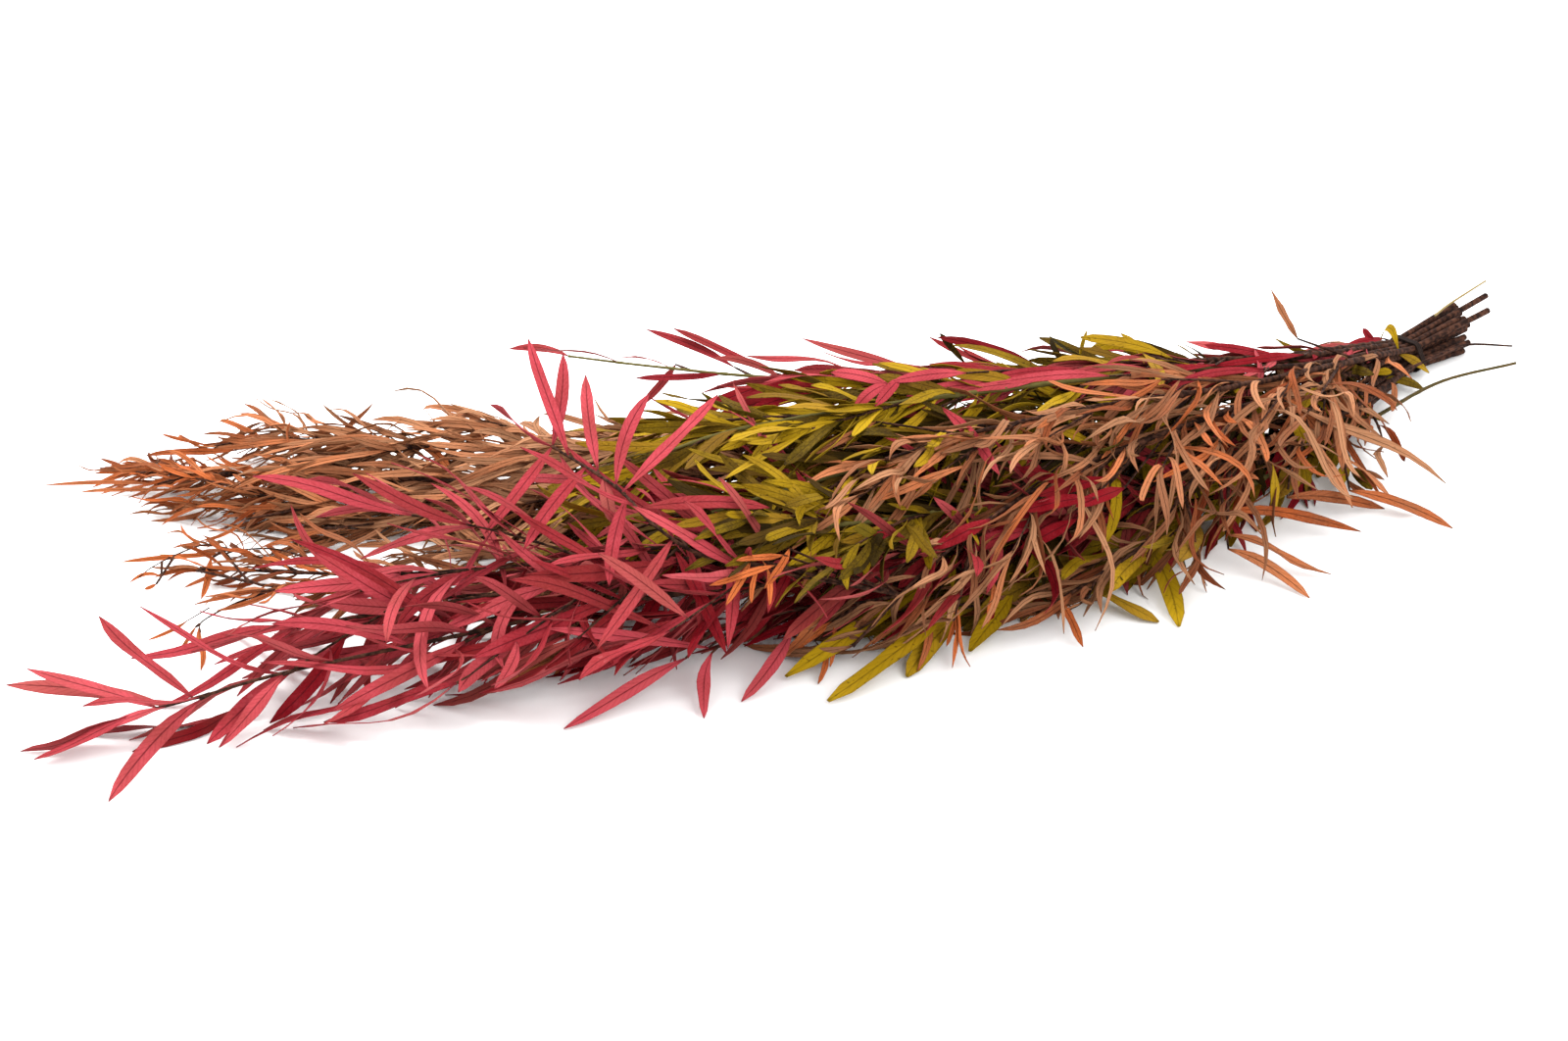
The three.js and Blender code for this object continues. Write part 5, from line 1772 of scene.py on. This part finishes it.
def stand(name, data, place, way):
    """A light or a camera at its place, looking its way."""
    holder = bpy.data.objects.new(name, data)
    holder.location = place
    holder.rotation_mode = "QUATERNION"
    holder.rotation_quaternion = way.to_track_quat("-Z", "Y")
    bpy.context.scene.collection.objects.link(holder)
    return holder


def area_light(name, power, size, place):
    """A round light that looks at the origin."""
    light = bpy.data.lights.new(name, "AREA")
    light.shape, light.energy, light.size = "DISK", power, size
    stand(name, light, place, -place)


def lay_floor(settings):
    mesh = bpy.data.meshes.new("floor")
    corners = [(x * FLOOR_REACH, y * FLOOR_REACH, 0) for x, y in ((-1, -1), (1, -1), (1, 1), (-1, 1))]
    mesh.from_pydata(corners, [], [(0, 1, 2, 3)])
    mesh.materials.append(floor_material(settings))
    floor = bpy.data.objects.new("floor", mesh)
    bpy.context.scene.collection.objects.link(floor)


class BUNCH_OT_stage(bpy.types.Operator):
    """Lay the floor and set the lights and the camera"""

    bl_idname = "bunch.stage"
    bl_label = "Stage"

    def execute(self, context):
        scene = context.scene
        settings = scene.eucalyptus_bunch
        lay_floor(settings)
        scene.world = bpy.data.worlds.new("studio")
        scene.world.use_nodes = True
        background = scene.world.node_tree.nodes["Background"]
        background.inputs["Color"].default_value = (1, 1, 1, 1)
        background.inputs["Strength"].default_value = settings.surround
        area_light("key", settings.key_light, KEY_SIZE, KEY_PLACE)
        area_light("fill", settings.fill_light, FILL_SIZE, FILL_PLACE)

        flat = math.cos(CAMERA_ELEVATION)
        turned = math.sin(CAMERA_AZIMUTH) * flat, -math.cos(CAMERA_AZIMUTH) * flat
        back = Vector((*turned, math.sin(CAMERA_ELEVATION)))
        camera = bpy.data.cameras.new("camera")
        camera.lens = CAMERA_LENS
        camera.clip_start, camera.clip_end = CAMERA_CLIP
        scene.camera = stand("camera", camera, CAMERA_TARGET + back * CAMERA_DISTANCE, -back)
        scene.view_settings.view_transform = "Standard"
        scene.view_settings.look = "None"
        return {"FINISHED"}


class BUNCH_PT_panel(bpy.types.Panel):
    """The bunch's sizes, colours and pieces"""

    bl_label = "Eucalyptus Bunch"
    bl_idname = "BUNCH_PT_panel"
    bl_space_type = "VIEW_3D"
    bl_region_type = "UI"
    bl_category = "Eucalyptus"

    def draw(self, context):
        settings = context.scene.eucalyptus_bunch
        for name in ("density", "blade_thickness", "bark_roughness", "bark", "bark_light", "tie"):
            self.layout.prop(settings, name)
        for dye in DYES:
            box = self.layout.box()
            box.label(text=dye.capitalize())
            for name in (*FOLIAGE_COLOURS, "roughness", "midrib", "specks"):
                box.prop(getattr(settings, dye), name)
        for operator in OPERATORS:
            self.layout.operator(operator.bl_idname)


OPERATORS = (
    BUNCH_OT_stage,
    BUNCH_OT_red_branches,
    BUNCH_OT_olive_branches,
    BUNCH_OT_copper_branches,
    BUNCH_OT_tie,
)
CLASSES = (RedFoliage, OliveFoliage, CopperFoliage, BunchSettings, *OPERATORS, BUNCH_PT_panel)


def register():
    for kind in CLASSES:
        bpy.utils.register_class(kind)
    bpy.types.Scene.eucalyptus_bunch = bpy.props.PointerProperty(type=BunchSettings)


def unregister():
    del bpy.types.Scene.eucalyptus_bunch
    for kind in reversed(CLASSES):
        bpy.utils.unregister_class(kind)


def main():
    register()
    for operator in OPERATORS:
        group, name = operator.bl_idname.split(".")
        getattr(getattr(bpy.ops, group), name)()
    bpy.context.view_layer.update()


if __name__ == "__main__":
    main()
